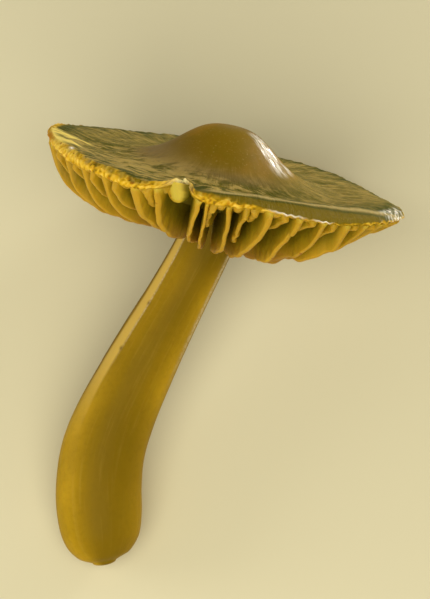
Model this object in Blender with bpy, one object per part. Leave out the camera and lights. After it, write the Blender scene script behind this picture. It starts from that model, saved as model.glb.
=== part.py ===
"""A parrot waxcap as picked: a small mushroom that lies on two low lobes of its far margin and on its heel.

The mushroom is modelled as it grew. That growing frame has X to the right, Y away, Z up, and its origin
in the middle of the cap's margin. An empty then carries the three sub-parts, cap, gills and stem, and
lays them down, so that the row's floor is Z = 0.

Every height on the cap is first given for a round, even cap, along the cap's own axis, and warp() then
adds the lobes, the notch and the rolled margin that this one has.
"""

import math
import random

import bmesh
import bpy
from mathutils import Euler, Matrix, Vector

# Driving dimensions of the cap, in metres. UMBO_SHOULDER is an exponent: more gives a squarer shoulder.
# Where the margin is rolled, ROLL_CRISP keeps its ups and downs close to the edge.
CAP_RADIUS = 0.0180
CAP_EDGE_THICKNESS = 0.00050
CAP_CENTRE_THICKNESS = 0.0019
DISH_DEPTH = 0.0007
UMBO_HEIGHT = 0.0055
UMBO_RADIUS = 0.00585
UMBO_SHOULDER = 3.2
UMBO_SHIFT = -0.0002
ROLL_RISE = 0.0008
ROLL_DROP = -0.0002
ROLL_CRISP = 14.0

# Driving dimensions of the gills, in metres, and as shares of the cap's radius where they end.
SEAM = 0.0003
LAYER = 0.0005
LAYER_HOLE = 0.05
LAYER_END = 0.965
GILL_ROOT_WIDTH = 0.00090
GILL_EDGE_WIDTH = 0.00062
GILL_END = 0.988
LONG_GILL_START = 0.17
MIDDLE_GILL_START = 0.29
SHORT_GILL_START = (0.56, 0.66)
SHORT_GILL_HANG = (0.0016, 0.0028)
GILL_SWAY = 0.00025
GILL_BEND = 0.03

# How the cap sits on the stem, and how the whole mushroom lies, in degrees and metres.
CAP_TILT_RIGHT = 12.3
CAP_TILT_NEAR = 11.3
LYING_TURN = (-72.3, 1.43, 0.0)
LYING_SHIFT = (-0.00007, 0.01374, 0.01583)
SLAB_SIZE = 0.1

# Counts. The columns of the cap are gathered towards the notch, where the margin turns most sharply.
COLUMNS = 70
GATHER = 0.45
NOTCH_ANGLE = 257.0
FULL_GILLS = 32
FULL_GILL_STEPS = 9
SHORT_GILL_STEPS = 6
FIRST_GILL = 3.5
GILL_SEED = 11
STEM_SIDES = 26

# The margin seen from above, anticlockwise from the right: angle in degrees, then height of the margin
# over its mean plane, then how far it reaches beyond CAP_RADIUS, then its roll (0 open, 1 rolled down).
MARGIN = (
    (0, 0.00005, 0.00035, 0.4),
    (22, -0.00030, 0.0001, 0.2),
    (45, 0.00005, 0.0001, 0.1),
    (66, 0.00035, 0.0003, 0.0),
    (85, 0.00030, -0.0009, 0.0),
    (105, 0.00025, 0.0003, 0.0),
    (130, 0.00010, -0.0001, 0.1),
    (155, 0.00045, -0.0001, 0.1),
    (172, 0.00080, 0.0001, 0.1),
    (190, 0.00060, 0.0000, 0.2),
    (212, 0.00045, -0.0002, 0.1),
    (230, 0.00030, 0.0001, 0.1),
    (243, 0.00000, 0.0001, 0.2),
    (251, 0.00035, -0.0004, 0.1),
    (255, 0.00085, -0.0018, 0.0),
    (259, 0.00080, -0.0022, 0.0),
    (263, 0.00025, -0.0003, 0.6),
    (269, 0.00025, 0.0001, 0.9),
    (279, 0.00045, 0.0000, 1.0),
    (288, 0.00030, 0.0000, 1.0),
    (300, 0.00008, 0.0001, 1.0),
    (310, -0.00008, 0.0001, 1.0),
    (330, -0.00005, 0.0000, 0.9),
    (346, 0.00005, 0.0002, 0.7),
)

# The depth of the full gills under the margin's plane, from the margin (share of the radius) inwards.
GILL_DEPTH = (
    (0.16, 0.0042),
    (0.20, 0.0049),
    (0.28, 0.0060),
    (0.36, 0.0064),
    (0.45, 0.0065),
    (0.55, 0.0063),
    (0.67, 0.0058),
    (0.77, 0.0051),
    (0.86, 0.0041),
    (0.94, 0.0026),
    (1.00, 0.0012),
)

# How the gills differ round the cap: angle, then their depth as a share of GILL_DEPTH, then how much fuller
# they are near the margin (0 as in GILL_DEPTH, more for fuller).
GILL_SHAPE = (
    (0, 0.80, -0.45),
    (45, 0.90, -0.10),
    (90, 1.00, 0.00),
    (150, 1.00, 0.15),
    (185, 0.93, 0.26),
    (205, 0.89, 0.28),
    (226, 0.83, 0.20),
    (247, 0.84, 0.00),
    (262, 1.00, 0.00),
    (300, 1.01, 0.05),
    (318, 1.07, 0.05),
    (330, 1.05, -0.05),
    (345, 0.87, -0.32),
)

# The stem's centreline in the growing frame, from under the cap to the heel, with its radius.
STEM = (
    (-0.0005, 0.0005, -0.0029, 0.0031),
    (-0.0011, 0.0010, -0.0050, 0.0028),
    (-0.0026, 0.0015, -0.0082, 0.0028),
    (-0.0050, 0.0019, -0.0127, 0.0030),
    (-0.0072, 0.0021, -0.0167, 0.0033),
    (-0.0093, 0.0022, -0.0207, 0.0036),
    (-0.0112, 0.0022, -0.0247, 0.0039),
    (-0.0123, 0.0021, -0.0280, 0.0041),
    (-0.0127, 0.0020, -0.0315, 0.0042),
    (-0.0126, 0.0019, -0.0345, 0.0041),
    (-0.0124, 0.0018, -0.0368, 0.0036),
    (-0.0122, 0.0017, -0.0383, 0.0025),
    (-0.0121, 0.0017, -0.0389, 0.0012),
)
STEM_STEPS = 2

# The stem's cross-section: how much it is flattened, and how much one side of it bulges.
STEM_FLATTEN = 0.03
STEM_BULGE = 0.015
HEEL_DOME = 0.35

# Colours (linear red, green, blue) and roughness.
OLIVE_SKIN = ((0.135, 0.105, 0.018, 1.0), 0.18)
YELLOW_GILL = ((0.560, 0.330, 0.030, 1.0), 0.45)
OCHRE_STEM = ((0.330, 0.190, 0.018, 1.0), 0.25)


def smooth_step(low, high, value):
    """0 below low, 1 above high, and an S-shaped rise between them."""
    share = min(1.0, max(0.0, (value - low) / (high - low)))
    return share * share * (3.0 - 2.0 * share)


def curve_through(places, value):
    """The heights of a smooth curve through (place, height, ...) rows, at one place along it."""
    last = len(places) - 1
    index = min(max(sum(row[0] <= value for row in places) - 1, 0), last - 1)
    before, start, end, after = (places[min(max(index + step, 0), last)] for step in (-1, 0, 1, 2))
    span = end[0] - start[0]
    share = min(1.0, max(0.0, (value - start[0]) / span))
    heights = []
    for low, first, second, high in zip(before[1:], start[1:], end[1:], after[1:]):
        leave = (second - low) / (end[0] - before[0]) * span
        arrive = (high - first) / (after[0] - start[0]) * span
        heights.append(
            (2 * share**3 - 3 * share**2 + 1) * first
            + (share**3 - 2 * share**2 + share) * leave
            + (3 * share**2 - 2 * share**3) * second
            + (share**3 - share**2) * arrive
        )
    return heights


def round_curve(places, angle):
    """The heights of a closed curve through (angle, height, ...) rows, at an angle in degrees."""
    start = [(row[0] - 360.0, *row[1:]) for row in places[-2:]]
    end = [(row[0] + 360.0, *row[1:]) for row in places[:2]]
    return curve_through([*start, *places, *end], angle % 360.0)


def dish(rho):
    """The height of the even cap's top, without its umbo, at a share of its radius."""
    return -DISH_DEPTH * (1.0 - smooth_step(0.45, 0.93, rho))


def umbo(rho):
    """How far the umbo stands over the dish at a share of the radius."""
    return UMBO_HEIGHT / (1.0 + (rho * CAP_RADIUS / UMBO_RADIUS) ** UMBO_SHOULDER)


def cap_thickness(rho):
    """The cap's thickness under the dish."""
    inside = max(0.0, 1.0 - rho)
    return CAP_EDGE_THICKNESS + (CAP_CENTRE_THICKNESS - CAP_EDGE_THICKNESS) * inside**1.5


def layer_top(rho):
    """The height of the top of the yellow layer that the gills grow from, a seam below the cap."""
    return dish(rho) - cap_thickness(rho) - SEAM


def layer_bottom(rho):
    """The height of the yellow layer's underside, where the gaps between the gills end."""
    return layer_top(rho) - LAYER


def warp(point):
    """A point of the even cap moved to where this cap's lobes, notch and rolled margin put it."""
    radius = math.hypot(point.x, point.y)
    angle = math.degrees(math.atan2(point.y, point.x))
    rho = radius / CAP_RADIUS
    height, reach, roll = round_curve(MARGIN, angle)
    lift = height * min(1.2, rho) ** (2.5 + ROLL_CRISP * roll)
    lift += roll * ROLL_RISE * smooth_step(0.62, 0.90, rho)
    lift -= roll * (ROLL_RISE + ROLL_DROP) * smooth_step(0.90, 1.0, rho)
    grown = 1.0 + reach / CAP_RADIUS * smooth_step(0.55, 1.0, rho)
    shift = UMBO_SHIFT * (1.0 - smooth_step(0.20, 0.60, rho))
    return Vector((point.x * grown + shift, point.y * grown, point.z + lift))


def cap_matrix():
    """The cap's place in the growing frame: its axis leans to the right and towards the viewer."""
    right, near = math.radians(CAP_TILT_RIGHT), math.radians(CAP_TILT_NEAR)
    across = Vector((math.cos(right), 0.0, -math.sin(right)))
    axis = Vector(
        (math.sin(right) * math.cos(near), -math.sin(near), math.cos(right) * math.cos(near))
    )
    away = axis.cross(across)
    return Matrix((across, away, axis)).transposed()


def gathered(angle):
    """An evenly spaced angle, in radians, moved so that the columns crowd together at the notch."""
    centre = math.radians(NOTCH_ANGLE)
    return angle - GATHER * math.sin(angle - centre)


def new_object(name, mesh):
    """An object with this mesh in the scene's collection."""
    item = bpy.data.objects.new(name, mesh)
    bpy.context.scene.collection.objects.link(item)
    return item


def turned(name, profile):
    """A mesh turned from a closed profile of (share of the radius, height), then warped and tilted."""
    shape = bmesh.new()
    points = [shape.verts.new((rho * CAP_RADIUS, 0.0, height)) for rho, height in profile]
    edges = [shape.edges.new(pair) for pair in zip(points, points[1:])]
    if profile[0][0] > 0.0:
        edges.append(shape.edges.new((points[-1], points[0])))
    bmesh.ops.spin(
        shape,
        geom=points + edges,
        cent=(0.0, 0.0, 0.0),
        axis=(0.0, 0.0, 1.0),
        angle=math.tau,
        steps=COLUMNS,
    )
    bmesh.ops.remove_doubles(shape, verts=shape.verts, dist=1e-6)
    turn = cap_matrix()
    for vert in shape.verts:
        radius = math.hypot(vert.co.x, vert.co.y)
        angle = gathered(math.atan2(vert.co.y, vert.co.x))
        even = Vector((radius * math.cos(angle), radius * math.sin(angle), vert.co.z))
        vert.co = turn @ warp(even)
    bmesh.ops.recalc_face_normals(shape, faces=shape.faces)
    mesh = bpy.data.meshes.new(name)
    shape.to_mesh(mesh)
    shape.free()
    return mesh


def cap_mesh():
    """The cap: a lens of flesh under its olive skin, with its umbo and a thin, rounded margin."""
    places = (0.0, 0.07, 0.14, 0.20, 0.26, 0.33, 0.41, 0.52, 0.64, 0.76, 0.86, 0.92, 0.965)
    top = [(rho, dish(rho) + umbo(rho)) for rho in places]
    edge = [(0.99, -0.00012), (1.0, -0.00030), (0.992, -CAP_EDGE_THICKNESS)]
    under = [(rho, dish(rho) - cap_thickness(rho)) for rho in (0.93, 0.84, 0.70, 0.54, 0.38, 0.20, 0.0)]
    return turned("cap", top + edge + under)


def layer_mesh():
    """The yellow layer under the cap that the gills grow from, open in the middle for the stem."""
    places = (LAYER_HOLE, 0.20, 0.38, 0.54, 0.70, 0.84, 0.92, LAYER_END)
    top = [(rho, layer_top(rho)) for rho in places]
    under = [(rho, layer_bottom(rho)) for rho in reversed(places)]
    return turned("gills", top + under)


def blade(name, angle, outer, inner, steps, foot, sway, bend):
    """One gill as a closed blade, thick at its root and thinner at its free edge.

    It runs along the angle from the share outer of the radius in to inner. foot gives the height of
    its free edge, sway its sideways wave there, and bend how far it curves off the straight radius.
    """
    shape = bmesh.new()
    turn = cap_matrix()
    rings = []
    for step in range(steps + 1):
        along = step / steps
        rho = outer + (inner - outer) * along
        open_out = smooth_step(0.20, 0.65, rho)
        centre = math.radians(angle) + bend * math.sin(math.pi * along)
        out = Vector((math.cos(centre), math.sin(centre), 0.0))
        side = Vector((-out.y, out.x, 0.0))
        root = out * rho * CAP_RADIUS + Vector((0.0, 0.0, (layer_top(rho) + layer_bottom(rho)) / 2.0))
        wave = sway * open_out * math.sin(2.5 * math.pi * along + angle)
        edge = out * rho * CAP_RADIUS + side * wave + Vector((0.0, 0.0, foot(rho, along)))
        thick = side * (GILL_EDGE_WIDTH + (GILL_ROOT_WIDTH - GILL_EDGE_WIDTH) * open_out) / 2.0
        thin = side * GILL_EDGE_WIDTH / 2.0
        ring = (root - thick, root + thick, edge + thin, edge - thin)
        rings.append([shape.verts.new(turn @ warp(point)) for point in ring])
    for near, far in zip(rings, rings[1:]):
        for start, after in ((0, 1), (1, 2), (2, 3)):
            shape.faces.new((near[start], near[after], far[after]))
            shape.faces.new((near[start], far[after], far[start]))
        shape.faces.new((near[0], far[3], near[3]))
        shape.faces.new((near[0], far[0], far[3]))
    for ring in (rings[0], rings[-1]):
        shape.faces.new(ring[:3])
        shape.faces.new((ring[0], ring[2], ring[3]))
    bmesh.ops.recalc_face_normals(shape, faces=shape.faces)
    mesh = bpy.data.meshes.new(name)
    shape.to_mesh(mesh)
    shape.free()
    return mesh


def full_foot(angle, deeper):
    """The free edge of a full gill at an angle: a deep curve from the margin in to the stem."""
    share, fuller = round_curve(GILL_SHAPE, angle)
    margin = GILL_DEPTH[-1][1]

    def foot(rho, _along):
        inward = rho - fuller * (1.0 - rho) * smooth_step(0.45, 0.80, rho)
        return -margin - (curve_through(GILL_DEPTH, inward)[0] - margin) * share * deeper

    return foot


def short_foot(depth):
    """The free edge of a short gill: a tongue that hangs deepest halfway along."""

    def foot(rho, along):
        hang = math.sin(math.pi * (0.08 + 0.90 * along)) ** 0.8
        return layer_bottom(rho) - depth * hang

    return foot


def gill_blades():
    """Every gill that is more than a tooth of the margin: full ones, and a short one between each two."""
    draw = random.Random(GILL_SEED)
    meshes = []
    gap = 360.0 / FULL_GILLS
    for index in range(FULL_GILLS):
        angle = FIRST_GILL + index * gap + draw.uniform(-1.2, 1.2)
        start = LONG_GILL_START if index % 2 == 0 else MIDDLE_GILL_START
        foot = full_foot(angle, draw.uniform(0.94, 1.04))
        sway = draw.uniform(-GILL_SWAY, GILL_SWAY)
        bend = draw.uniform(-GILL_BEND, GILL_BEND)
        meshes.append(blade("full", angle, GILL_END, start, FULL_GILL_STEPS, foot, sway, bend))
        angle = FIRST_GILL + (index + 0.5) * gap + draw.uniform(-0.8, 0.8)
        start = draw.uniform(*SHORT_GILL_START)
        foot = short_foot(draw.uniform(*SHORT_GILL_HANG))
        meshes.append(blade("short", angle, GILL_END, start, SHORT_GILL_STEPS, foot, sway / 2, 0.0))
    return meshes


def stem_path():
    """The stem's stations: its named places, and STEM_STEPS from each to the next on one smooth curve."""
    places = [Vector(place) for place in STEM]
    ends = [places[0] * 2 - places[1], *places, places[-1] * 2 - places[-2]]
    stations = []
    for before, start, end, after in zip(ends, ends[1:], ends[2:], ends[3:]):
        for step in range(STEM_STEPS):
            share = step / STEM_STEPS
            stations.append(
                0.5
                * (
                    2 * start
                    + (end - before) * share
                    + (2 * before - 5 * start + 4 * end - after) * share**2
                    + (3 * start - before - 3 * end + after) * share**3
                )
            )
    return [*stations, places[-1]]


def stem_mesh(name, grown=0.0, raised=0.0):
    """The stem as rings along its path. grown thickens it all round, raised lengthens it at the top."""
    stations = stem_path()
    centres = [Vector(station[:3]) for station in stations]
    shape = bmesh.new()
    rings = []
    for index, (centre, station) in enumerate(zip(centres, stations)):
        ahead = centres[min(index + 1, len(centres) - 1)]
        behind = centres[max(index - 1, 0)]
        along = (ahead - behind).normalized()
        if index == 0:
            centre = centre - along * raised
            along = -(cap_matrix() @ Vector((0.0, 0.0, 1.0)))
        side = Vector((0.0, 1.0, 0.0)).cross(along).normalized()
        away = along.cross(side)
        ring = []
        for corner in range(STEM_SIDES):
            turn = math.tau * corner / STEM_SIDES
            uneven = STEM_FLATTEN * math.cos(2.0 * turn) - STEM_BULGE * math.cos(3.0 * turn + 0.7)
            reach = station[3] * (1.0 + uneven) + grown
            ring.append(shape.verts.new(centre + (side * math.cos(turn) + away * math.sin(turn)) * reach))
        rings.append(ring)
    for near, far in zip(rings, rings[1:]):
        for start in range(STEM_SIDES):
            after = (start + 1) % STEM_SIDES
            shape.faces.new((near[start], near[after], far[after], far[start]))
    for ring, station, index in ((rings[0], stations[0], 0), (rings[-1], stations[-1], -1)):
        outward = (centres[0] - centres[1]) if index == 0 else (centres[-1] - centres[-2])
        domed = 0.0 if index == 0 else station[3] * HEEL_DOME
        middle = sum((vert.co for vert in ring), Vector()) / STEM_SIDES
        tip = shape.verts.new(middle + outward.normalized() * domed)
        for start in range(STEM_SIDES):
            shape.faces.new((ring[start], ring[(start + 1) % STEM_SIDES], tip))
    bmesh.ops.recalc_face_normals(shape, faces=shape.faces)
    mesh = bpy.data.meshes.new(name)
    shape.to_mesh(mesh)
    shape.free()
    return mesh


def material(name, finish):
    """A Principled material with one colour and roughness."""
    colour, roughness = finish
    made = bpy.data.materials.new(name)
    made.use_nodes = True
    shader = made.node_tree.nodes["Principled BSDF"]
    shader.inputs["Base Color"].default_value = colour
    shader.inputs["Roughness"].default_value = roughness
    shader.inputs["Metallic"].default_value = 0.0
    return made


def cut(item, cutter):
    """Takes the cutter's room out of item."""
    modifier = item.modifiers.new(f"cut_{cutter.name}", "BOOLEAN")
    modifier.operation = "DIFFERENCE"
    modifier.object = cutter


def join_blades(gills):
    """Joins every blade to the yellow layer in one union, applies it, and removes the loose blades."""
    blades = bpy.data.collections.new("blades")
    bpy.context.scene.collection.children.link(blades)
    for mesh in gill_blades():
        blades.objects.link(bpy.data.objects.new(mesh.name, mesh))
    modifier = gills.modifiers.new("join_blades", "BOOLEAN")
    modifier.operation = "UNION"
    modifier.operand_type = "COLLECTION"
    modifier.collection = blades
    bpy.context.view_layer.update()
    joined = bpy.data.meshes.new_from_object(gills.evaluated_get(bpy.context.evaluated_depsgraph_get()))
    gills.modifiers.clear()
    gills.data = joined
    for loose in list(blades.objects):
        bpy.data.objects.remove(loose)
    bpy.data.collections.remove(blades)


def helper(item):
    """Marks an object as a cutter, which is not part of the mushroom."""
    item.hide_render = True
    item.display_type = "WIRE"
    return item


def floor_slab():
    """The block under the floor that presses the small flat spots on which the mushroom rests."""
    shape = bmesh.new()
    bmesh.ops.create_cube(shape, size=SLAB_SIZE)
    bmesh.ops.translate(shape, verts=shape.verts, vec=(0.0, 0.0, -SLAB_SIZE / 2.0))
    mesh = bpy.data.meshes.new("floor_slab")
    shape.to_mesh(mesh)
    shape.free()
    return helper(new_object("floor_slab", mesh))


def finish(item, pose, surface):
    """Parents a sub-part to the pose, gives it its material and shades it smooth."""
    item.parent = pose
    item.data.materials.clear()
    item.data.materials.append(surface)
    item.data.shade_smooth()
    item.data.set_sharp_from_angle(angle=math.radians(40.0))


def main():
    """Clears the scene and builds the mushroom."""
    for item in list(bpy.data.objects):
        bpy.data.objects.remove(item)
    pose = new_object("lying_pose", None)
    pose.rotation_euler = Euler([math.radians(turn) for turn in LYING_TURN])
    pose.location = LYING_SHIFT
    slab = floor_slab()
    room = helper(new_object("stem_room", stem_mesh("stem_room", grown=SEAM, raised=CAP_CENTRE_THICKNESS)))
    room.parent = pose

    cap = new_object("cap", cap_mesh())
    gills = new_object("gills", layer_mesh())
    stem = new_object("stem", stem_mesh("stem"))
    join_blades(gills)
    finish(cap, pose, material("cap_skin", OLIVE_SKIN))
    finish(gills, pose, material("gill_flesh", YELLOW_GILL))
    finish(stem, pose, material("stem_flesh", OCHRE_STEM))
    cut(gills, room)
    cut(gills, slab)
    cut(stem, slab)


main()
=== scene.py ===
"""The looks of a parrot waxcap as picked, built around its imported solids.

The mushroom is shaped as it grew, in the growing frame: X to the right, Y away, Z up, origin in the middle
of the cap's margin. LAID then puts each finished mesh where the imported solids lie. Its sizes repeat those
of the solids, and what is added here is their surface: fibrils, ripples, thin gill edges, teeth and wear.
"""

import logging
import math
from dataclasses import dataclass, field, replace
from enum import Enum

import bpy
import numpy as np
from mathutils import Euler, Matrix, Vector

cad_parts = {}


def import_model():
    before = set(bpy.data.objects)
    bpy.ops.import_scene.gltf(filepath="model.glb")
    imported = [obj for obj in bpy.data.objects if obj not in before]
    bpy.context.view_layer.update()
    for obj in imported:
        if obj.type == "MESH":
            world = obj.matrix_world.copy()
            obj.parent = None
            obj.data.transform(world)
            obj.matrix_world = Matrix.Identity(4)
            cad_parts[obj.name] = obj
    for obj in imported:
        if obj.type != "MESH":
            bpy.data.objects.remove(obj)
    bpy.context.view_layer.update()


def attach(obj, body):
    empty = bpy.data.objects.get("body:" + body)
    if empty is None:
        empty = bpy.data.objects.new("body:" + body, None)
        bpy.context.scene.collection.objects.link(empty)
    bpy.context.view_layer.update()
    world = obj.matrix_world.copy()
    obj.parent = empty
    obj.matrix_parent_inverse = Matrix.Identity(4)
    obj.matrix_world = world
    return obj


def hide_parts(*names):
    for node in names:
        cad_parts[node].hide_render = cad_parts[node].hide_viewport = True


LOG = logging.getLogger("waxcap")
Colour = tuple[float, float, float, float]
Rows = tuple[tuple[float, ...], ...]
Numbers = np.ndarray | float
Spot = tuple[float, float]
Socket = bpy.types.NodeSocket


class Kind(Enum):
    """What sort of gill a blade is."""

    FULL = "full"
    SHORT = "short"
    TOOTH = "tooth"


# How the whole mushroom lies: degrees about X, Y and Z, then metres.
LYING_TURN = (-72.3, 1.43, 0.0)
LYING_SHIFT = (-0.00007, 0.01374, 0.01583)
LAID = Matrix.Translation(LYING_SHIFT) @ Euler([math.radians(a) for a in LYING_TURN]).to_matrix().to_4x4()

# Where two faces meet more sharply than this, the shading keeps the edge.
CREASE = math.radians(60.0)

# The margin seen from above, anticlockwise from the right: angle in degrees, then height of the margin
# over its mean plane, then how far it reaches beyond the radius, then its roll (0 open, 1 rolled down).
MARGIN: Rows = (
    (0, 0.00005, 0.00035, 0.4),
    (22, -0.00030, 0.0001, 0.2),
    (45, 0.00005, 0.0001, 0.1),
    (66, 0.00035, 0.0003, 0.0),
    (85, 0.00030, -0.0009, 0.0),
    (105, 0.00025, 0.0003, 0.0),
    (130, 0.00010, -0.0001, 0.1),
    (155, 0.00045, -0.0001, 0.1),
    (172, 0.00080, 0.0001, 0.1),
    (190, 0.00060, 0.0000, 0.2),
    (212, 0.00045, -0.0002, 0.1),
    (230, 0.00030, 0.0001, 0.1),
    (243, 0.00000, 0.0001, 0.2),
    (251, 0.00035, -0.0004, 0.1),
    (255, 0.00085, -0.0018, 0.0),
    (259, 0.00080, -0.0022, 0.0),
    (263, 0.00025, -0.0003, 0.6),
    (269, 0.00025, 0.0001, 0.9),
    (279, 0.00045, 0.0000, 1.0),
    (288, 0.00030, 0.0000, 1.0),
    (300, 0.00008, 0.0001, 1.0),
    (310, -0.00008, 0.0001, 1.0),
    (330, -0.00005, 0.0000, 0.9),
    (346, 0.00005, 0.0002, 0.7),
)

# The depth of the full gills under the margin's plane, from the margin (share of the radius) inwards.
GILL_DEPTH: Rows = (
    (0.16, 0.0042),
    (0.20, 0.0049),
    (0.28, 0.0060),
    (0.36, 0.0064),
    (0.45, 0.0065),
    (0.55, 0.0063),
    (0.67, 0.0058),
    (0.77, 0.0051),
    (0.86, 0.0041),
    (0.94, 0.0026),
    (1.00, 0.0012),
)

# How the gills differ round the cap: angle, their depth as a share of GILL_DEPTH, and how much fuller
# they are near the margin.
GILL_SHAPE: Rows = (
    (0, 0.80, -0.45),
    (45, 0.90, -0.10),
    (90, 1.00, 0.00),
    (150, 1.00, 0.15),
    (185, 0.93, 0.26),
    (205, 0.89, 0.28),
    (226, 0.83, 0.20),
    (247, 0.84, 0.00),
    (262, 1.00, 0.00),
    (300, 1.01, 0.05),
    (318, 1.07, 0.05),
    (330, 1.05, -0.05),
    (345, 0.87, -0.32),
)

# The thick, granular bead of the near left margin: angle, how far it sags, and how far it swells upwards.
BEAD: Rows = (
    (0, 0.0, 0.0),
    (186, 0.0, 0.0),
    (196, 0.00005, 0.00005),
    (206, 0.00022, 0.00010),
    (216, 0.00044, 0.00008),
    (228, 0.00034, 0.00012),
    (240, 0.00024, 0.00012),
    (248, 0.00006, 0.00004),
    (256, -0.00016, 0.0),
    (263, 0.00004, 0.0),
    (268, 0.00022, 0.00004),
    (275, 0.00020, 0.00002),
    (283, 0.00006, 0.0),
    (292, 0.0, 0.0),
)

# The full gills on the side that faces the viewer, anticlockwise: angle, inner end as a share of the radius,
# how deep they hang as a share of GILL_DEPTH, sway, bend, and how thick they are.
NEAR_FULL: Rows = (
    (194.0, 0.17, 1.00, 0.3, 0.00, 1.1),
    (209.0, 0.29, 1.00, -0.4, 0.02, 1.0),
    (221.3, 0.17, 1.02, 0.5, 0.03, 1.15),
    (231.9, 0.29, 1.00, 0.4, 0.02, 1.15),
    (243.8, 0.17, 1.00, 0.5, 0.02, 1.7),
    (250.6, 0.20, 1.05, -0.2, 0.00, 1.2),
    (264.8, 0.29, 0.90, 0.3, -0.08, 1.1),
    (267.3, 0.30, 0.98, -0.3, -0.02, 0.65),
    (274.0, 0.24, 1.00, 0.7, 0.02, 0.95),
    (286.8, 0.17, 1.02, 0.8, -0.02, 1.2),
    (297.0, 0.29, 1.00, 0.8, 0.01, 1.2),
    (306.3, 0.17, 1.00, 1.0, 0.02, 1.2),
    (315.6, 0.29, 1.02, -1.0, -0.02, 1.2),
    (325.4, 0.17, 1.00, 0.9, 0.02, 1.1),
    (335.3, 0.29, 0.98, -0.9, 0.01, 1.1),
    (345.4, 0.17, 0.98, 0.8, 0.01, 1.0),
)

# The short gills between them: the same, but how deep they hang is in metres.
NEAR_SHORT: Rows = (
    (202.0, 0.60, 0.0017, 0.2, 0.0, 1.0),
    (215.5, 0.66, 0.0013, 0.3, 0.0, 1.0),
    (226.0, 0.60, 0.0018, -0.3, 0.0, 1.1),
    (236.6, 0.56, 0.0020, -0.2, 0.0, 1.2),
    (247.7, 0.74, 0.0012, 0.1, 0.0, 1.4),
    (269.8, 0.66, 0.0021, 0.3, -0.04, 1.1),
    (279.6, 0.58, 0.0029, -0.4, 0.0, 1.0),
    (282.2, 0.78, 0.0012, 0.1, 0.0, 1.3),
    (291.6, 0.62, 0.0014, 0.5, 0.0, 1.2),
    (301.6, 0.62, 0.0013, -0.6, 0.0, 1.2),
    (310.6, 0.58, 0.0018, 0.7, 0.0, 1.2),
    (320.3, 0.60, 0.0013, 0.6, 0.0, 1.1),
    (330.4, 0.60, 0.0012, -0.6, 0.0, 1.1),
    (340.2, 0.64, 0.0010, 0.5, 0.0, 1.0),
    (350.2, 0.64, 0.0010, 0.0, 0.0, 1.0),
)

# The teeth at the margin: angle, inner end, how deep they hang in metres, and how thick they are.
NEAR_TEETH: Rows = (
    (198.0, 0.90, 0.0006, 1.6),
    (205.6, 0.90, 0.0005, 1.5),
    (212.3, 0.91, 0.0004, 1.4),
    (218.3, 0.92, 0.0004, 1.3),
    (223.6, 0.92, 0.0003, 1.3),
    (229.0, 0.92, 0.0004, 1.3),
    (234.3, 0.92, 0.0003, 1.4),
    (239.3, 0.92, 0.0004, 1.5),
    (241.5, 0.92, 0.0003, 1.4),
    (245.8, 0.92, 0.0004, 1.4),
    (252.4, 0.92, 0.0004, 1.4),
    (271.4, 0.92, 0.0006, 1.4),
    (276.8, 0.90, 0.0007, 1.6),
    (284.2, 0.93, 0.0003, 1.2),
    (289.0, 0.91, 0.0006, 1.8),
    (294.3, 0.93, 0.0003, 1.2),
    (299.2, 0.92, 0.0004, 1.5),
    (303.8, 0.93, 0.0003, 1.2),
)

# Bites out of the free edges: the gill's angle, then how far along, how deep in metres, and how wide. One
# with a negative depth is a lobe instead.
BITES: Rows = (
    (286.8, 0.62, 0.00030, 0.02),
    (297.0, 0.12, 0.00050, 0.016),
    (297.0, 0.36, -0.00045, 0.10),
    (306.3, 0.39, 0.00065, 0.08),
    (315.6, 0.10, -0.00080, 0.05),
    (315.6, 0.22, -0.00030, 0.06),
    (315.6, 0.50, 0.00090, 0.10),
    (315.6, 0.80, 0.00040, 0.03),
    (325.4, 0.40, 0.00060, 0.22),
    (335.3, 0.32, 0.00020, 0.15),
    (221.3, 0.55, 0.00020, 0.03),
)

# Where the cap's skin is paler or, below 0, darker: angle, half-width and strength. Its pale tan streaks are
# partly the skin's own tone and partly painted reflection of its wet sheen.
PALE: Rows = (
    (222, 38, 0.34),
    (350, 25, 0.12),
    (285, 28, -0.30),
    (320, 14, -0.25),
    (178, 18, -0.22),
)

# Where it is greener: angle, half-width and strength.
GREENER: Rows = ((120, 55, 0.8), (305, 30, 0.5))

# Where the margin's yellow starts further out or, below 0, further in: angle, half-width, and how far as a
# share of the radius.
YELLOW_START: Rows = ((226, 32, -0.014), (95, 70, 0.030), (269, 9, -0.030), (173, 10, -0.022))

# The mauve patches round the umbo: angle, half-width, share of the radius, its half-width, and strength.
MAUVE: Rows = (
    (185, 45, 0.40, 0.10, 0.75),
    (280, 40, 0.43, 0.05, 0.40),
    (20, 40, 0.13, 0.07, 0.65),
)

# The stem's centreline in the growing frame, from under the cap to the heel, with its radius.
STEM_PATH: Rows = (
    (-0.0003, 0.0003, -0.0012, 0.0036),
    (-0.0005, 0.0005, -0.0029, 0.0031),
    (-0.0011, 0.0010, -0.0050, 0.0028),
    (-0.0026, 0.0015, -0.0082, 0.0028),
    (-0.0050, 0.0019, -0.0127, 0.0030),
    (-0.0072, 0.0021, -0.0167, 0.0033),
    (-0.0093, 0.0022, -0.0207, 0.0036),
    (-0.0112, 0.0022, -0.0247, 0.0039),
    (-0.0123, 0.0021, -0.0280, 0.0041),
    (-0.0127, 0.0020, -0.0315, 0.0042),
    (-0.0126, 0.0019, -0.0345, 0.0041),
    (-0.0124, 0.0018, -0.0368, 0.0036),
    (-0.0122, 0.0017, -0.0383, 0.0025),
    (-0.0121, 0.0017, -0.0389, 0.0012),
)


def tint(red: int, green: int, blue: int) -> Colour:
    """A colour as a painter names it, 0 to 255 a channel, in the linear light that the shaders use."""
    linear = [((c / 255 + 0.055) / 1.055) ** 2.4 if c > 10 else c / 255 / 12.92 for c in (red, green, blue)]
    return (linear[0], linear[1], linear[2], 1.0)


def unit(value: Numbers) -> Numbers:
    """A value held between 0 and 1."""
    return np.clip(value, 0.0, 1.0)


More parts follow.
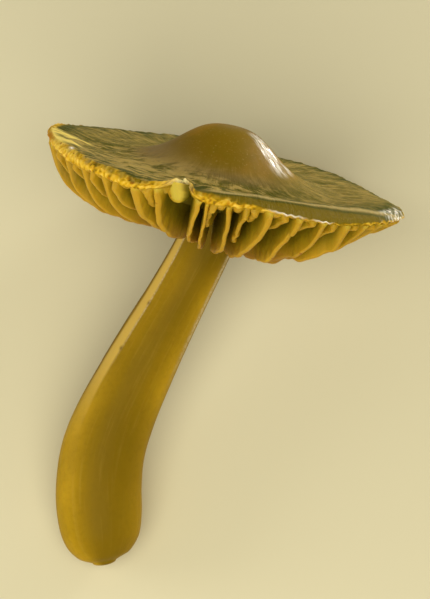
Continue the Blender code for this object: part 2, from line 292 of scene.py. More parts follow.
def smooth_step(low: float, high: float, value: Numbers) -> Numbers:
    """0 at low and beyond it, 1 at high and beyond it, and an S-shaped rise from one to the other."""
    share = unit((value - low) / (high - low))
    return share * share * (3.0 - 2.0 * share)


def hill(middle: float, width: float, value: Numbers) -> Numbers:
    """A soft hill of height 1 round middle, which is down to about a third at its half-width."""
    return np.exp(-(((value - middle) / width) ** 2))


def turned_by(angle: Numbers, centre: float) -> Numbers:
    """How far angles, in degrees, are from centre, from -180 to 180."""
    return (angle - centre + 180.0) % 360.0 - 180.0


def near(degrees: Numbers, centre: float, width: float) -> Numbers:
    """A soft hill of height 1 round an angle, where all three are in degrees."""
    return hill(0.0, width, turned_by(degrees, centre))


def plateau(value: Numbers, half: float) -> Numbers:
    """A flat-topped hill of height 1 round 0, with steep sides at half."""
    return hill(0.0, 1.0, (value / half) ** 2)


def quarter_round(share: Numbers, least: float) -> Numbers:
    """A quarter circle that rises from least at share 0 to 1 at share 1."""
    return np.sqrt(np.clip(1.0 - unit(1.0 - share) ** 2, least, 1.0))


def curve_through(rows: Rows, value: np.ndarray) -> np.ndarray:
    """The heights of a smooth curve through (place, height, ...) rows.

    Args:
        rows: The named places with their heights.
        value: The places to look at.

    Returns:
        One row of heights for each place.
    """
    table = np.asarray(rows, float)
    value = np.asarray(value, float)
    last = len(table) - 1
    index = np.clip(np.searchsorted(table[:, 0], value, side="right") - 1, 0, last - 1)
    before, start = table[np.maximum(index - 1, 0)], table[index]
    end, after = table[index + 1], table[np.minimum(index + 2, last)]
    span = end[..., :1] - start[..., :1]
    share = unit((value[..., None] - start[..., :1]) / span)
    leave = (end[..., 1:] - before[..., 1:]) / (end[..., :1] - before[..., :1]) * span
    arrive = (after[..., 1:] - start[..., 1:]) / (after[..., :1] - start[..., :1]) * span
    return (
        (2 * share**3 - 3 * share**2 + 1) * start[..., 1:]
        + (share**3 - 2 * share**2 + share) * leave
        + (3 * share**2 - 2 * share**3) * end[..., 1:]
        + (share**3 - share**2) * arrive
    )


def round_curve(rows: Rows, angle: np.ndarray) -> np.ndarray:
    """The heights of a closed curve through (angle, height, ...) rows.

    Args:
        rows: The named angles, in degrees, with their heights.
        angle: The angles to look at, in degrees.

    Returns:
        One row of heights for each angle.
    """
    before = tuple((row[0] - 360.0, *row[1:]) for row in rows[-2:])
    after = tuple((row[0] + 360.0, *row[1:]) for row in rows[:2])
    return curve_through(before + rows + after, np.asarray(angle, float) % 360.0)


@dataclass(frozen=True)
class Grain:
    """Seeded unevenness on a lattice that closes on itself along its first axis."""

    seed: int
    around: int
    rows: int = 61

    def at(self, turn: Numbers, place: Numbers) -> Numbers:
        """The unevenness at some places.

        Args:
            turn: The place along the closed axis, 0 to 1 for a full turn.
            place: The place along the open axis, in lattice cells.

        Returns:
            Values from -1 to 1.
        """
        table = np.random.default_rng(self.seed).uniform(-1.0, 1.0, (self.around, self.rows))
        across = (turn % 1.0) * self.around
        column, row = np.floor(across).astype(int), np.floor(place).astype(int)
        x, y = across - column, place - row
        x, y = x * x * (3 - 2 * x), y * y * (3 - 2 * y)
        left, right = column % self.around, (column + 1) % self.around
        low, high = row % self.rows, (row + 1) % self.rows
        inner = table[left, low] * (1 - x) + table[right, low] * x
        outer = table[left, high] * (1 - x) + table[right, high] * x
        return inner * (1 - y) + outer * y


def clear_selection() -> None:
    """Leaves edit mode and deselects every object."""
    if bpy.context.mode != "OBJECT":
        bpy.ops.object.mode_set(mode="OBJECT")
    bpy.ops.object.select_all(action="DESELECT")


def points_of(mesh: bpy.types.Mesh) -> np.ndarray:
    """The places of a mesh's vertices.

    Args:
        mesh: The mesh.

    Returns:
        One row for each vertex.
    """
    flat = np.empty(len(mesh.vertices) * 3, np.float32)
    mesh.vertices.foreach_get("co", flat)
    return flat.reshape(-1, 3).astype(float)


def set_points(mesh: bpy.types.Mesh, points: np.ndarray) -> None:
    """Moves a mesh's vertices to these places."""
    mesh.vertices.foreach_set("co", points.astype(np.float32).ravel())
    mesh.update()


def keep(mesh: bpy.types.Mesh, **values: np.ndarray) -> None:
    """Writes numbers or vectors for a mesh's vertices, which a material reads by their names.

    Args:
        mesh: The mesh.
        **values: Each name, with one number or one row of three for each vertex.
    """
    for name, value in values.items():
        kind, entry = ("FLOAT", "value") if value.ndim == 1 else ("FLOAT_VECTOR", "vector")
        made = mesh.attributes.new(name, kind, "POINT")
        made.data.foreach_set(entry, np.ascontiguousarray(value, np.float32).ravel())


def laid_down(points: np.ndarray) -> np.ndarray:
    """Points of the growing frame, where the mushroom lies in the row frame."""
    pose = np.array(LAID)
    return points @ pose[:3, :3].T + pose[:3, 3]


def spun(name: str, profile: list[tuple[float, float]], steps: int) -> bpy.types.Object:
    """Spins a profile that starts and ends on the Z axis into a closed solid.

    Args:
        name: The new object's name.
        profile: Its (distance from the axis, height) corners.
        steps: How many columns it gets.

    Returns:
        The object, at the origin and facing outwards.
    """
    clear_selection()
    start = (profile[0][0], 0.0, profile[0][1])
    bpy.ops.mesh.primitive_plane_add(size=0.0005, location=start)
    piece = bpy.context.active_object
    piece.name = piece.data.name = name
    bpy.ops.object.transform_apply(location=True, rotation=True, scale=True)
    bpy.ops.object.mode_set(mode="EDIT")
    bpy.ops.mesh.select_mode(type="VERT")
    bpy.ops.mesh.select_all(action="SELECT")
    bpy.ops.mesh.merge(type="CENTER")
    for (x, z), (next_x, next_z) in zip(profile, profile[1:]):
        bpy.ops.mesh.extrude_vertices_move(
            TRANSFORM_OT_translate={"value": (next_x - x, 0.0, next_z - z)}
        )
    bpy.ops.mesh.select_all(action="SELECT")
    bpy.ops.mesh.spin(
        steps=steps, angle=math.tau, center=(0.0, 0.0, 0.0), axis=(0.0, 0.0, 1.0), use_auto_merge=True
    )
    bpy.ops.mesh.select_all(action="SELECT")
    bpy.ops.mesh.remove_doubles(threshold=1e-6)
    bpy.ops.mesh.normals_make_consistent(inside=False)
    bpy.ops.object.mode_set(mode="OBJECT")
    return piece


@dataclass(frozen=True)
class CapForm:
    """The form that the cap, its gills and its yellow layer share, in metres and degrees."""

    radius: float = 0.0180
    edge_thickness: float = 0.00050
    centre_thickness: float = 0.0019
    dish_depth: float = 0.0007
    umbo_height: float = 0.0055
    umbo_radius: float = 0.00585
    umbo_shoulder: float = 3.2
    umbo_shift: float = -0.0002
    roll_rise: float = 0.0008
    roll_drop: float = -0.0002
    roll_crisp: float = 14.0
    seam: float = 0.0003
    layer: float = 0.0005
    layer_gap: float = 0.00008
    tilt_right: float = 12.3
    tilt_near: float = 11.3
    gather: float = 0.45
    notch: float = 257.0

    def dish(self, rho: Numbers) -> Numbers:
        """The height of the even cap's top, without its umbo."""
        return -self.dish_depth * (1.0 - smooth_step(0.45, 0.93, rho))

    def umbo(self, rho: Numbers) -> Numbers:
        """How far the umbo stands over the dish."""
        return self.umbo_height / (1.0 + (rho * self.radius / self.umbo_radius) ** self.umbo_shoulder)

    def thickness(self, rho: Numbers) -> Numbers:
        """The cap's thickness under the dish."""
        inside = np.maximum(0.0, 1.0 - rho)
        return self.edge_thickness + (self.centre_thickness - self.edge_thickness) * inside**1.5

    def layer_bottom(self, rho: Numbers) -> Numbers:
        """The height of the yellow layer's underside, where the gaps between the gills end.

        Args:
            rho: Places as shares of the radius.

        Returns:
            The height at each place.
        """
        fade = 1.0 - smooth_step(0.86, 0.98, rho)
        full = self.seam + self.layer - self.layer_gap
        return self.dish(rho) - self.thickness(rho) - self.layer_gap - full * fade

    def bead(self, rho: np.ndarray, degrees: np.ndarray) -> tuple[np.ndarray, np.ndarray]:
        """How far the margin's bead sags under the even cap, and how far it swells over it."""
        sag, swell = round_curve(BEAD, degrees).T
        return sag * smooth_step(0.88, 0.985, rho), swell * smooth_step(0.80, 0.97, rho)

    def gathered(self, angle: np.ndarray) -> np.ndarray:
        """Evenly spaced angles, in radians, moved so that columns crowd together at the notch."""
        return angle - self.gather * np.sin(angle - math.radians(self.notch))

    def warped(self, points: np.ndarray) -> np.ndarray:
        """Points of the even cap moved to where this cap's lobes, notch and roll put them.

        Args:
            points: Places on the even cap, one row each.

        Returns:
            Their places on the uneven cap, before it is tilted.
        """
        radius = np.hypot(points[:, 0], points[:, 1])
        rho = radius / self.radius
        height, reach, roll = round_curve(MARGIN, np.degrees(np.arctan2(points[:, 1], points[:, 0]))).T
        lift = height * np.minimum(1.2, rho) ** (4.0 + self.roll_crisp * roll)
        lift += roll * self.roll_rise * smooth_step(0.62, 0.90, rho)
        lift -= roll * (self.roll_rise + self.roll_drop) * smooth_step(0.90, 1.0, rho)
        grown = 1.0 + reach / self.radius * smooth_step(0.55, 1.0, rho)
        shift = self.umbo_shift * (1.0 - smooth_step(0.20, 0.60, rho))
        return np.stack((points[:, 0] * grown + shift, points[:, 1] * grown, points[:, 2] + lift), axis=1)

    def tilted(self, points: np.ndarray) -> np.ndarray:
        """Points of the warped cap in the growing frame, where its axis leans right and near.

        Args:
            points: Places on the warped cap, one row each.

        Returns:
            Their places in the growing frame.
        """
        lean, nod = math.radians(self.tilt_right), math.radians(self.tilt_near)
        across = Vector((math.cos(lean), 0.0, -math.sin(lean)))
        axis = Vector((math.sin(lean) * math.cos(nod), -math.sin(nod), math.cos(lean) * math.cos(nod)))
        return points @ np.array((across, axis.cross(across), axis))

    def placed(self, points: np.ndarray) -> np.ndarray:
        """Points of the even cap in the row frame.

        Args:
            points: Places on the even cap, one row each.

        Returns:
            Their places in the row frame, none of them under the floor.
        """
        laid = laid_down(self.tilted(self.warped(points)))
        laid[:, 2] = np.maximum(laid[:, 2], 0.0)
        return laid


class Recipe:
    """A node material that is put together step by step."""

    # How far light wanders in the flesh: its red, green and blue, and how many metres.
    FLESH_COLOUR = (1.0, 0.55, 0.12)
    FLESH_DEPTH = 0.0008
    # The slime on the wet places.
    SLIME_ROUGHNESS = 0.28
    SLIME_IOR = 1.7

    def __init__(self, name: str) -> None:
        """Starts a material.

        Args:
            name: Its name.
        """
        self.material = bpy.data.materials.new(name)
        self.material.use_nodes = True
        self.tree = self.material.node_tree
        self.shader = self.tree.nodes["Principled BSDF"]

    def node(self, kind: str, **settings: object) -> bpy.types.Node:
        """Adds a node.

        Args:
            kind: Its Blender type.
            **settings: Its properties.

        Returns:
            The node.
        """
        made = self.tree.nodes.new(kind)
        for name, value in settings.items():
            setattr(made, name, value)
        return made

    def feed(self, socket: Socket, value: object) -> None:
        """Links an input to a socket, or sets the input's own number or colour.

        Args:
            socket: The input.
            value: A socket, the name of a number that the mesh keeps, a number or a colour.
        """
        value = self.value(value) if isinstance(value, str) else value
        if isinstance(value, Socket):
            self.tree.links.new(value, socket)
        else:
            socket.default_value = value

    def fill(self, node: bpy.types.Node, entries: dict[str, object]) -> None:
        """Feeds a node's inputs by their names."""
        for name, value in entries.items():
            self.feed(node.inputs[name], value)

    def value(self, name: str) -> Socket:
        """The number that the mesh keeps under a name."""
        return self.node("ShaderNodeAttribute", attribute_name=name).outputs["Fac"]

    def vector(self, name: str) -> Socket:
        """The vector that the mesh keeps under a name."""
        return self.node("ShaderNodeAttribute", attribute_name=name).outputs["Vector"]

    def place(self) -> Socket:
        """The place on the object, in metres."""
        return self.node("ShaderNodeTexCoord").outputs["Object"]

    def noise(
        self, where: Socket, scale: object, detail: float = 3.0, rough: float = 0.55, bent: float = 0.0
    ) -> Socket:
        """Cloudy noise from 0 to 1.

        Args:
            where: The coordinates.
            scale: Clouds per unit of the coordinates, or three of them where the clouds are stretched.
            detail: How many finer layers it has.
            rough: How strong they are.
            bent: How far it is twisted by itself.

        Returns:
            Its value.
        """
        if isinstance(scale, tuple):
            stretch = self.node("ShaderNodeMapping")
            self.fill(stretch, {"Vector": where, "Scale": scale})
            where, scale = stretch.outputs["Vector"], 1.0
        made = self.node("ShaderNodeTexNoise", noise_dimensions="3D")
        self.fill(made, {"Vector": where, "Scale": scale, "Detail": detail, "Roughness": rough})
        self.fill(made, {"Distortion": bent})
        return made.outputs["Fac"]

    def chain(self, operation: str, *values: object) -> Socket:
        """One operation of arithmetic from the first value to the last.

        Args:
            operation: Its Blender name.
            *values: Sockets, names of kept numbers, or numbers.

        Returns:
            The result.
        """
        result = values[0]
        for value in values[1:]:
            made = self.node("ShaderNodeMath", operation=operation)
            self.feed(made.inputs[0], result)
            self.feed(made.inputs[1], value)
            result = made.outputs[0]
        return result

    def times(self, *values: object) -> Socket:
        """The product of some values."""
        return self.chain("MULTIPLY", *values)

    def plus(self, *values: object) -> Socket:
        """The sum of some values."""
        return self.chain("ADD", *values)

    def spread(
        self, value: object, low: float, high: float, to_low: float = 0.0, to_high: float = 1.0
    ) -> Socket:
        """Maps low..high smoothly onto to_low..to_high, and holds it there outside.

        Args:
            value: What is mapped.
            low: The value that becomes to_low.
            high: The value that becomes to_high.
            to_low: The lower result.
            to_high: The upper result.

        Returns:
            The mapped value.
        """
        made = self.node("ShaderNodeMapRange", interpolation_type="SMOOTHSTEP")
        for index, entry in enumerate((value, low, high, to_low, to_high)):
            self.feed(made.inputs[index], entry)
        return made.outputs["Result"]

    def swing(self, value: object, half: float, reach: float) -> Socket:
        """Maps noise from half under to half over its middle onto -reach..reach."""
        return self.spread(value, 0.5 - half, 0.5 + half, -reach, reach)

    def ramp(self, value: object, *stops: tuple[float, Colour]) -> Socket:
        """A colour ramp.

        Args:
            value: What it is read at.
            *stops: Its places with their colours.

        Returns:
            The colour.
        """
        made = self.node("ShaderNodeValToRGB")
        self.feed(made.inputs["Fac"], value)
        elements = made.color_ramp.elements
        while len(elements) < len(stops):
            elements.new(0.5)
        for index, (position, _) in enumerate(stops):
            elements[index].position = position
        for index, (_, colour) in enumerate(stops):
            elements[index].color = colour
        return made.outputs["Color"]

    def paint(self, colour: object, *coats: tuple[object, object]) -> Socket:
        """Lays colours over one another, from the lowest up.

        Args:
            colour: The colour underneath.
            *coats: How much of each shows, as a socket or the name of a kept value, and its colour.

        Returns:
            The mixed colour.
        """
        for share, coat in coats:
            made = self.node("ShaderNodeMix", data_type="RGBA", blend_type="MIX")
            sockets = {item.identifier: item for item in made.inputs}
            for name, entry in (("Factor_Float", share), ("A_Color", colour), ("B_Color", coat)):
                self.feed(sockets[name], entry)
            colour = next(item for item in made.outputs if item.identifier == "Result_Color")
        return colour

    def relief(self, *layers: tuple[Socket, float]) -> Socket:
        """Fine relief, laid on layer by layer.

        Args:
            *layers: The height of each, and how many metres a height of 1 stands up.

        Returns:
            The normal.
        """
        normal = None
        for height, distance in layers:
            made = self.node("ShaderNodeBump")
            self.fill(made, {"Strength": 1.0, "Distance": distance, "Height": height})
            if normal is not None:
                self.feed(made.inputs["Normal"], normal)
            normal = made.outputs["Normal"]
        return normal

    def finish(
        self,
        colour: Socket,
        rough: object,
        normal: Socket,
        glow: float,
        gloss: float,
        wet: object = 0.0,
    ) -> bpy.types.Material:
        """Connects the shader.

        Args:
            colour: The base colour.
            rough: The roughness.
            normal: The relief.
            glow: How much light wanders through the flesh.
            gloss: How much the flesh itself mirrors.
            wet: How much slime lies on it.

        Returns:
            The finished material.
        """
        entries = {
            "Base Color": colour,
            "Roughness": rough,
            "Normal": normal,
            "Subsurface Weight": glow,
            "Subsurface Radius": self.FLESH_COLOUR,
            "Subsurface Scale": self.FLESH_DEPTH,
            "Specular IOR Level": gloss,
            "Coat Weight": wet,
            "Coat Roughness": self.SLIME_ROUGHNESS,
            "Coat IOR": self.SLIME_IOR,
        }
        self.fill(self.shader, entries)
        return self.material


@dataclass(frozen=True)
class SkinFinish:
    """The wet, olive-brown skin of the cap."""

    olive: Colour = tint(88, 82, 16)
    # Tan: the umbo's own specks, and the top's streaks, which are partly painted reflection.
    tan: Colour = tint(166, 142, 76)
    green: Colour = tint(62, 66, 10)
    umbo: Colour = tint(118, 92, 10)
    tawny: Colour = tint(138, 102, 18)
    mauve: Colour = tint(122, 100, 66)
    roll: Colour = tint(110, 92, 6)
    yellow: Colour = tint(204, 160, 26)
    orange: Colour = tint(184, 122, 20)
    umber: Colour = tint(130, 102, 14)
    bright: Colour = tint(236, 200, 84)
    speck: Colour = tint(130, 56, 22)
    cream: Colour = tint(228, 204, 104)
    torn: Colour = tint(226, 212, 150)
    # Painted highlight along the crest of the roll's fold.
    beige: Colour = tint(168, 148, 92)
    # Near-white painted highlight, laid over the wet coat on the umbo's fibrous flank, the lip's glints, the
    # tip's beads and the drop.
    frost: Colour = tint(255, 250, 240)
    hair_height: float = 0.00007
    fibril_height: float = 0.00012
    grit_height: float = 0.00008
    glow: float = 0.10
    gloss: float = 0.04

    def material(self) -> bpy.types.Material:
        """Makes the material.

        Returns:
            The material, which reads the values that Cap keeps on its mesh.
        """
        recipe = Recipe("wet_cap_skin")
        fibre, place = recipe.vector("fibre"), recipe.place()
        waves = recipe.noise(fibre, (8.0, 8.0, 19.0), 2.0, 0.5, 0.9)
        fibrils = recipe.noise(fibre, (56.0, 56.0, 8.0), 3.0, 0.6, 0.6)
        hairs = recipe.noise(fibre, (120.0, 120.0, 12.0), 3.0, 0.6, 0.3)
        ripples = recipe.noise(place, (380.0, 380.0, 1150.0), 3.0, 0.62, 1.0)
        fine = recipe.noise(place, (800.0, 800.0, 2600.0), 2.0, 0.6, 0.6)
        grit = recipe.noise(place, 2200.0, 3.0, 0.6)

        lengthwise = recipe.plus(recipe.swing(fibrils, 0.18, 0.32), recipe.swing(hairs, 0.20, 0.26))
        crosswise = recipe.plus(recipe.swing(ripples, 0.14, 0.95), recipe.swing(fine, 0.15, 0.70))
        lengthwise = recipe.times(lengthwise, "combed")
        crosswise = recipe.times(crosswise, recipe.chain("SUBTRACT", 1.0, "combed"))
        streak = recipe.plus(recipe.swing(waves, 0.16, 0.22), "fibril", lengthwise, crosswise)
        # The tan streaks: partly the skin's own fibrils and ripples, partly painted reflection of its wet
        # sheen.
        pale = recipe.spread(recipe.plus(streak, "pale"), -0.85, 0.85)

        tawny = recipe.spread(recipe.noise(place, 170.0, 3.0, 0.5), 0.42, 0.62)
        cloud = recipe.spread(recipe.noise(place, 700.0, 3.0, 0.6), 0.35, 0.70, 0.0, 0.35)
        dots = recipe.spread(recipe.noise(place, 4200.0, 2.0, 0.5), 0.58, 0.74, 0.0, 0.32)
        brown = recipe.paint(self.umbo, (tawny, self.tawny), (cloud, self.roll), (dots, self.tan))
        # The yellow margin's granules: painted shade in the dark ochre of their hollows and painted
        # highlight in the cream of their tops.
        gold = recipe.ramp("lump", (0.20, self.umber), (0.50, self.yellow), (1.0, self.bright))
        gold = recipe.paint(gold, (recipe.spread(grit, 0.25, 0.5, 0.8, 0.0), self.orange))
        spots = recipe.spread(recipe.noise(place, 1300.0, 1.0, 0.5), 0.68, 0.74)
        spots = recipe.times(spots, "rim", "specked")
        colour = recipe.paint(
            self.olive,
            ("greener", self.green),
            (pale, self.tan),
            ("knob", brown),
            ("foot", self.mauve),
            ("rolled", self.roll),
            ("crease", self.green),
            ("crest", self.beige),
            ("rim", gold),
            ("cream", self.cream),
            ("burnt", self.orange),
            (spots, self.speck),
            ("torn", self.torn),
            ("frost", self.frost),
        )
        relief = recipe.relief(
            (recipe.times(hairs, "coarse"), self.hair_height),
            (recipe.times(fibrils, "coarse"), self.fibril_height),
            (recipe.times(grit, "rim"), self.grit_height),
        )
        rough = recipe.spread(streak, -0.5, 0.5, 0.46, 0.56)
        return recipe.finish(colour, rough, relief, self.glow, self.gloss, "wet")


@dataclass(frozen=True)
class GillFinish:
    """The waxy yellow flesh of the gills and the layer that they grow from."""

    # From deep at the roots through face to gold at the free edges: the darkening towards the roots and in
    # the gaps between the gills is painted shade, and the gold at the free edges and the margin is partly
    # painted light.
    deep: Colour = tint(97, 86, 8)
    face: Colour = tint(151, 124, 18)
    gold: Colour = tint(180, 142, 26)
    edge: Colour = tint(184, 144, 38)
    fresh: Colour = tint(204, 186, 66)
    brown: Colour = tint(150, 108, 30)
    speck: Colour = tint(130, 60, 20)
    line_height: float = 0.00008
    blur_height: float = 0.00010
    grain_height: float = 0.00002
    rough: float = 0.48
    glow: float = 0.28
    gloss: float = 0.15

    def material(self) -> bpy.types.Material:
        """Makes the material.

        Returns:
            The material, which reads the values that GillFan keeps on its mesh.
        """
        recipe = Recipe("waxy_gill_flesh")
        place = recipe.place()
        cloud = recipe.noise(place, 420.0)
        lines = recipe.noise(recipe.vector("grow"), (26.0, 5.0, 1.0), 2.0, 0.5, 0.3)
        blur = recipe.noise(place, 900.0, 2.0, 0.5)
        grain = recipe.noise(place, 3000.0, 3.0, 0.6)
        hang = recipe.plus("hang", recipe.swing(cloud, 0.2, 0.07))
        rust = recipe.times("rust", recipe.spread(cloud, 0.35, 0.6, 0.4, 1.0))
        spots = recipe.spread(recipe.noise(place, 1300.0, 1.0, 0.5), 0.71, 0.77)
        colour = recipe.paint(
            recipe.ramp(hang, (0.0, self.deep), (0.50, self.face), (1.0, self.gold)),
            (recipe.spread(lines, 0.35, 0.70, 0.0, 0.22), self.deep),
            ("outer", self.gold),
            ("brink", self.edge),
            ("fresh", self.fresh),
            (rust, self.brown),
            (recipe.times(spots, "brink"), self.speck),
        )
        relief = recipe.relief(
            (lines, self.line_height), (blur, self.blur_height), (grain, self.grain_height)
        )
        return recipe.finish(colour, self.rough, relief, self.glow, self.gloss)


@dataclass(frozen=True)
class StemFinish:
    """The slimy ochre flesh of the stem."""

    ochre: Colour = tint(150, 118, 16)
    olive: Colour = tint(108, 86, 8)
    warm: Colour = tint(186, 148, 26)
    # Pale: the threads' own tone, and the painted reflection of the band down the left side.
    pale: Colour = tint(208, 174, 84)
    # Painted highlight: the thin whitish lines along the band's inner border and at the right edge.
    white: Colour = tint(208, 190, 146)
    dark: Colour = tint(88, 66, 14)
    thread_height: float = 0.00003
    grain_height: float = 0.00002
    glow: float = 0.20
    gloss: float = 0.04

    def material(self) -> bpy.types.Material:
        """Makes the material.

        Returns:
            The material, which reads the values that Stem keeps on its mesh.
        """
        recipe = Recipe("slimy_stem_flesh")
        place = recipe.place()
        threads = recipe.noise(recipe.vector("fibre"), 1.0, 4.0, 0.6, 0.1)
        cloud = recipe.noise(place, 160.0, 3.0, 0.5)
        grain = recipe.noise(place, 1900.0, 3.0, 0.6)
        specks = recipe.spread(recipe.noise(place, 3600.0, 3.0, 0.6), 0.38, 0.62, 0.35, 1.0)
        colour = recipe.paint(
            self.ochre,
            ("warm", self.warm),
            ("dusk", self.olive),
            (recipe.spread(cloud, 0.35, 0.7, 0.0, 0.30), self.olive),
            (recipe.spread(threads, 0.50, 0.75, 0.0, 0.09), self.pale),
            (recipe.spread(grain, 0.45, 0.70, 0.0, 0.16), self.olive),
            ("band", self.pale),
            (recipe.times("line", specks), self.white),
            ("shade", self.dark),
        )
        relief = recipe.relief((threads, self.thread_height), (grain, self.grain_height))
        rough = recipe.spread(threads, 0.3, 0.7, 0.44, 0.54)
        return recipe.finish(colour, rough, relief, self.glow, self.gloss)


@dataclass(frozen=True)
class Gill:
    """One gill: where it is, how far in it runs, how deep it hangs and how it sways."""

    kind: Kind
    angle: float
    start: float
    hang: float
    sway: float = 0.0
    bend: float = 0.0
    thick: float = 1.0
    tone: float = 0.0


@dataclass
class Fan:
    """Every gill of the cap: the named ones that face the viewer, and the drawn ones on the far side."""

    far_full: int = 16
    far_start: float = 355.5
    far_end: float = 545.5
    starts: tuple[float, float] = (0.17, 0.29)
    seed: int = 11
    gills: list[Gill] = field(default_factory=list)

    def lay_out(self) -> None:
        """Lists the near gills, and draws the far ones: full, short, and two teeth in each remaining gap."""
        draw = np.random.default_rng(self.seed)
        named = [Gill(Kind.FULL, *row) for row in NEAR_FULL] + [Gill(Kind.SHORT, *row) for row in NEAR_SHORT]
        named += [Gill(Kind.TOOTH, *row[:3], thick=row[3]) for row in NEAR_TEETH]
        for gill in sorted(named, key=lambda one: one.angle):
            self.gills.append(replace(gill, tone=draw.uniform()))
        gap = (self.far_end - self.far_start) / self.far_full
        for index in range(self.far_full + 1):
            angle = self.far_start + index * gap + draw.uniform(-1.2, 1.2)
            sway, bend, hang = draw.uniform(-1.0, 1.0), draw.uniform(-0.03, 0.03), draw.uniform(0.94, 1.04)
            start = self.starts[index % 2]
            self.gills.append(Gill(Kind.FULL, angle % 360.0, start, hang, sway, bend, 1.0, draw.uniform()))
            if index == self.far_full:
                break
            angle = self.far_start + (index + 0.5) * gap + draw.uniform(-0.8, 0.8)
            start, hang = draw.uniform(0.56, 0.66), draw.uniform(0.0014, 0.0026)
            sway, tone = draw.uniform(-0.5, 0.5), draw.uniform()
            self.gills.append(Gill(Kind.SHORT, angle % 360.0, start, hang, sway, tone=tone))
            for share in (0.25, 0.75):
                angle = self.far_start + (index + share) * gap + draw.uniform(-0.7, 0.7)
                start, hang = draw.uniform(0.90, 0.93), draw.uniform(0.0003, 0.0006)
                tooth = Gill(Kind.TOOTH, angle % 360.0, start, hang, thick=1.4, tone=draw.uniform())
                self.gills.append(tooth)


@dataclass
class Skin:
    """Where each vertex of the cap is: its angle, in radians, and its share of the radius."""

    angle: np.ndarray
    rho: np.ndarray
    degrees: np.ndarray = field(init=False)
    turn: np.ndarray = field(init=False)
    roll: np.ndarray = field(init=False)

    def __post_init__(self) -> None:
        """Works out the angle in degrees and as a share of a turn, and how far the margin rolls there."""
        self.degrees, self.turn = np.degrees(self.angle) % 360.0, self.angle / math.tau % 1.0
        self.roll = round_curve(MARGIN, self.degrees)[:, 2]

    def near(self, centre: float, width: float) -> np.ndarray:
        """A soft hill round an angle."""
        return near(self.degrees, centre, width)

    def patch(self, spot: Spot, shift: Numbers = 0.0) -> np.ndarray:
        """A flat-topped hill round an angle, which may be shifted from vertex to vertex."""
        return plateau(turned_by(self.degrees, spot[0] + shift), spot[1])

    def patches(self, rows: Rows) -> np.ndarray:
        """Soft hills added up, each from its angle, its half-width and its strength."""
        return sum(strength * self.near(centre, width) for centre, width, strength in rows)

    def grain(self, seed: int, around: int, outward: float = 0.0) -> np.ndarray:
        """Seeded unevenness with so many cells round the cap and from its middle outwards."""
        return Grain(seed, around).at(self.turn, self.rho * outward)


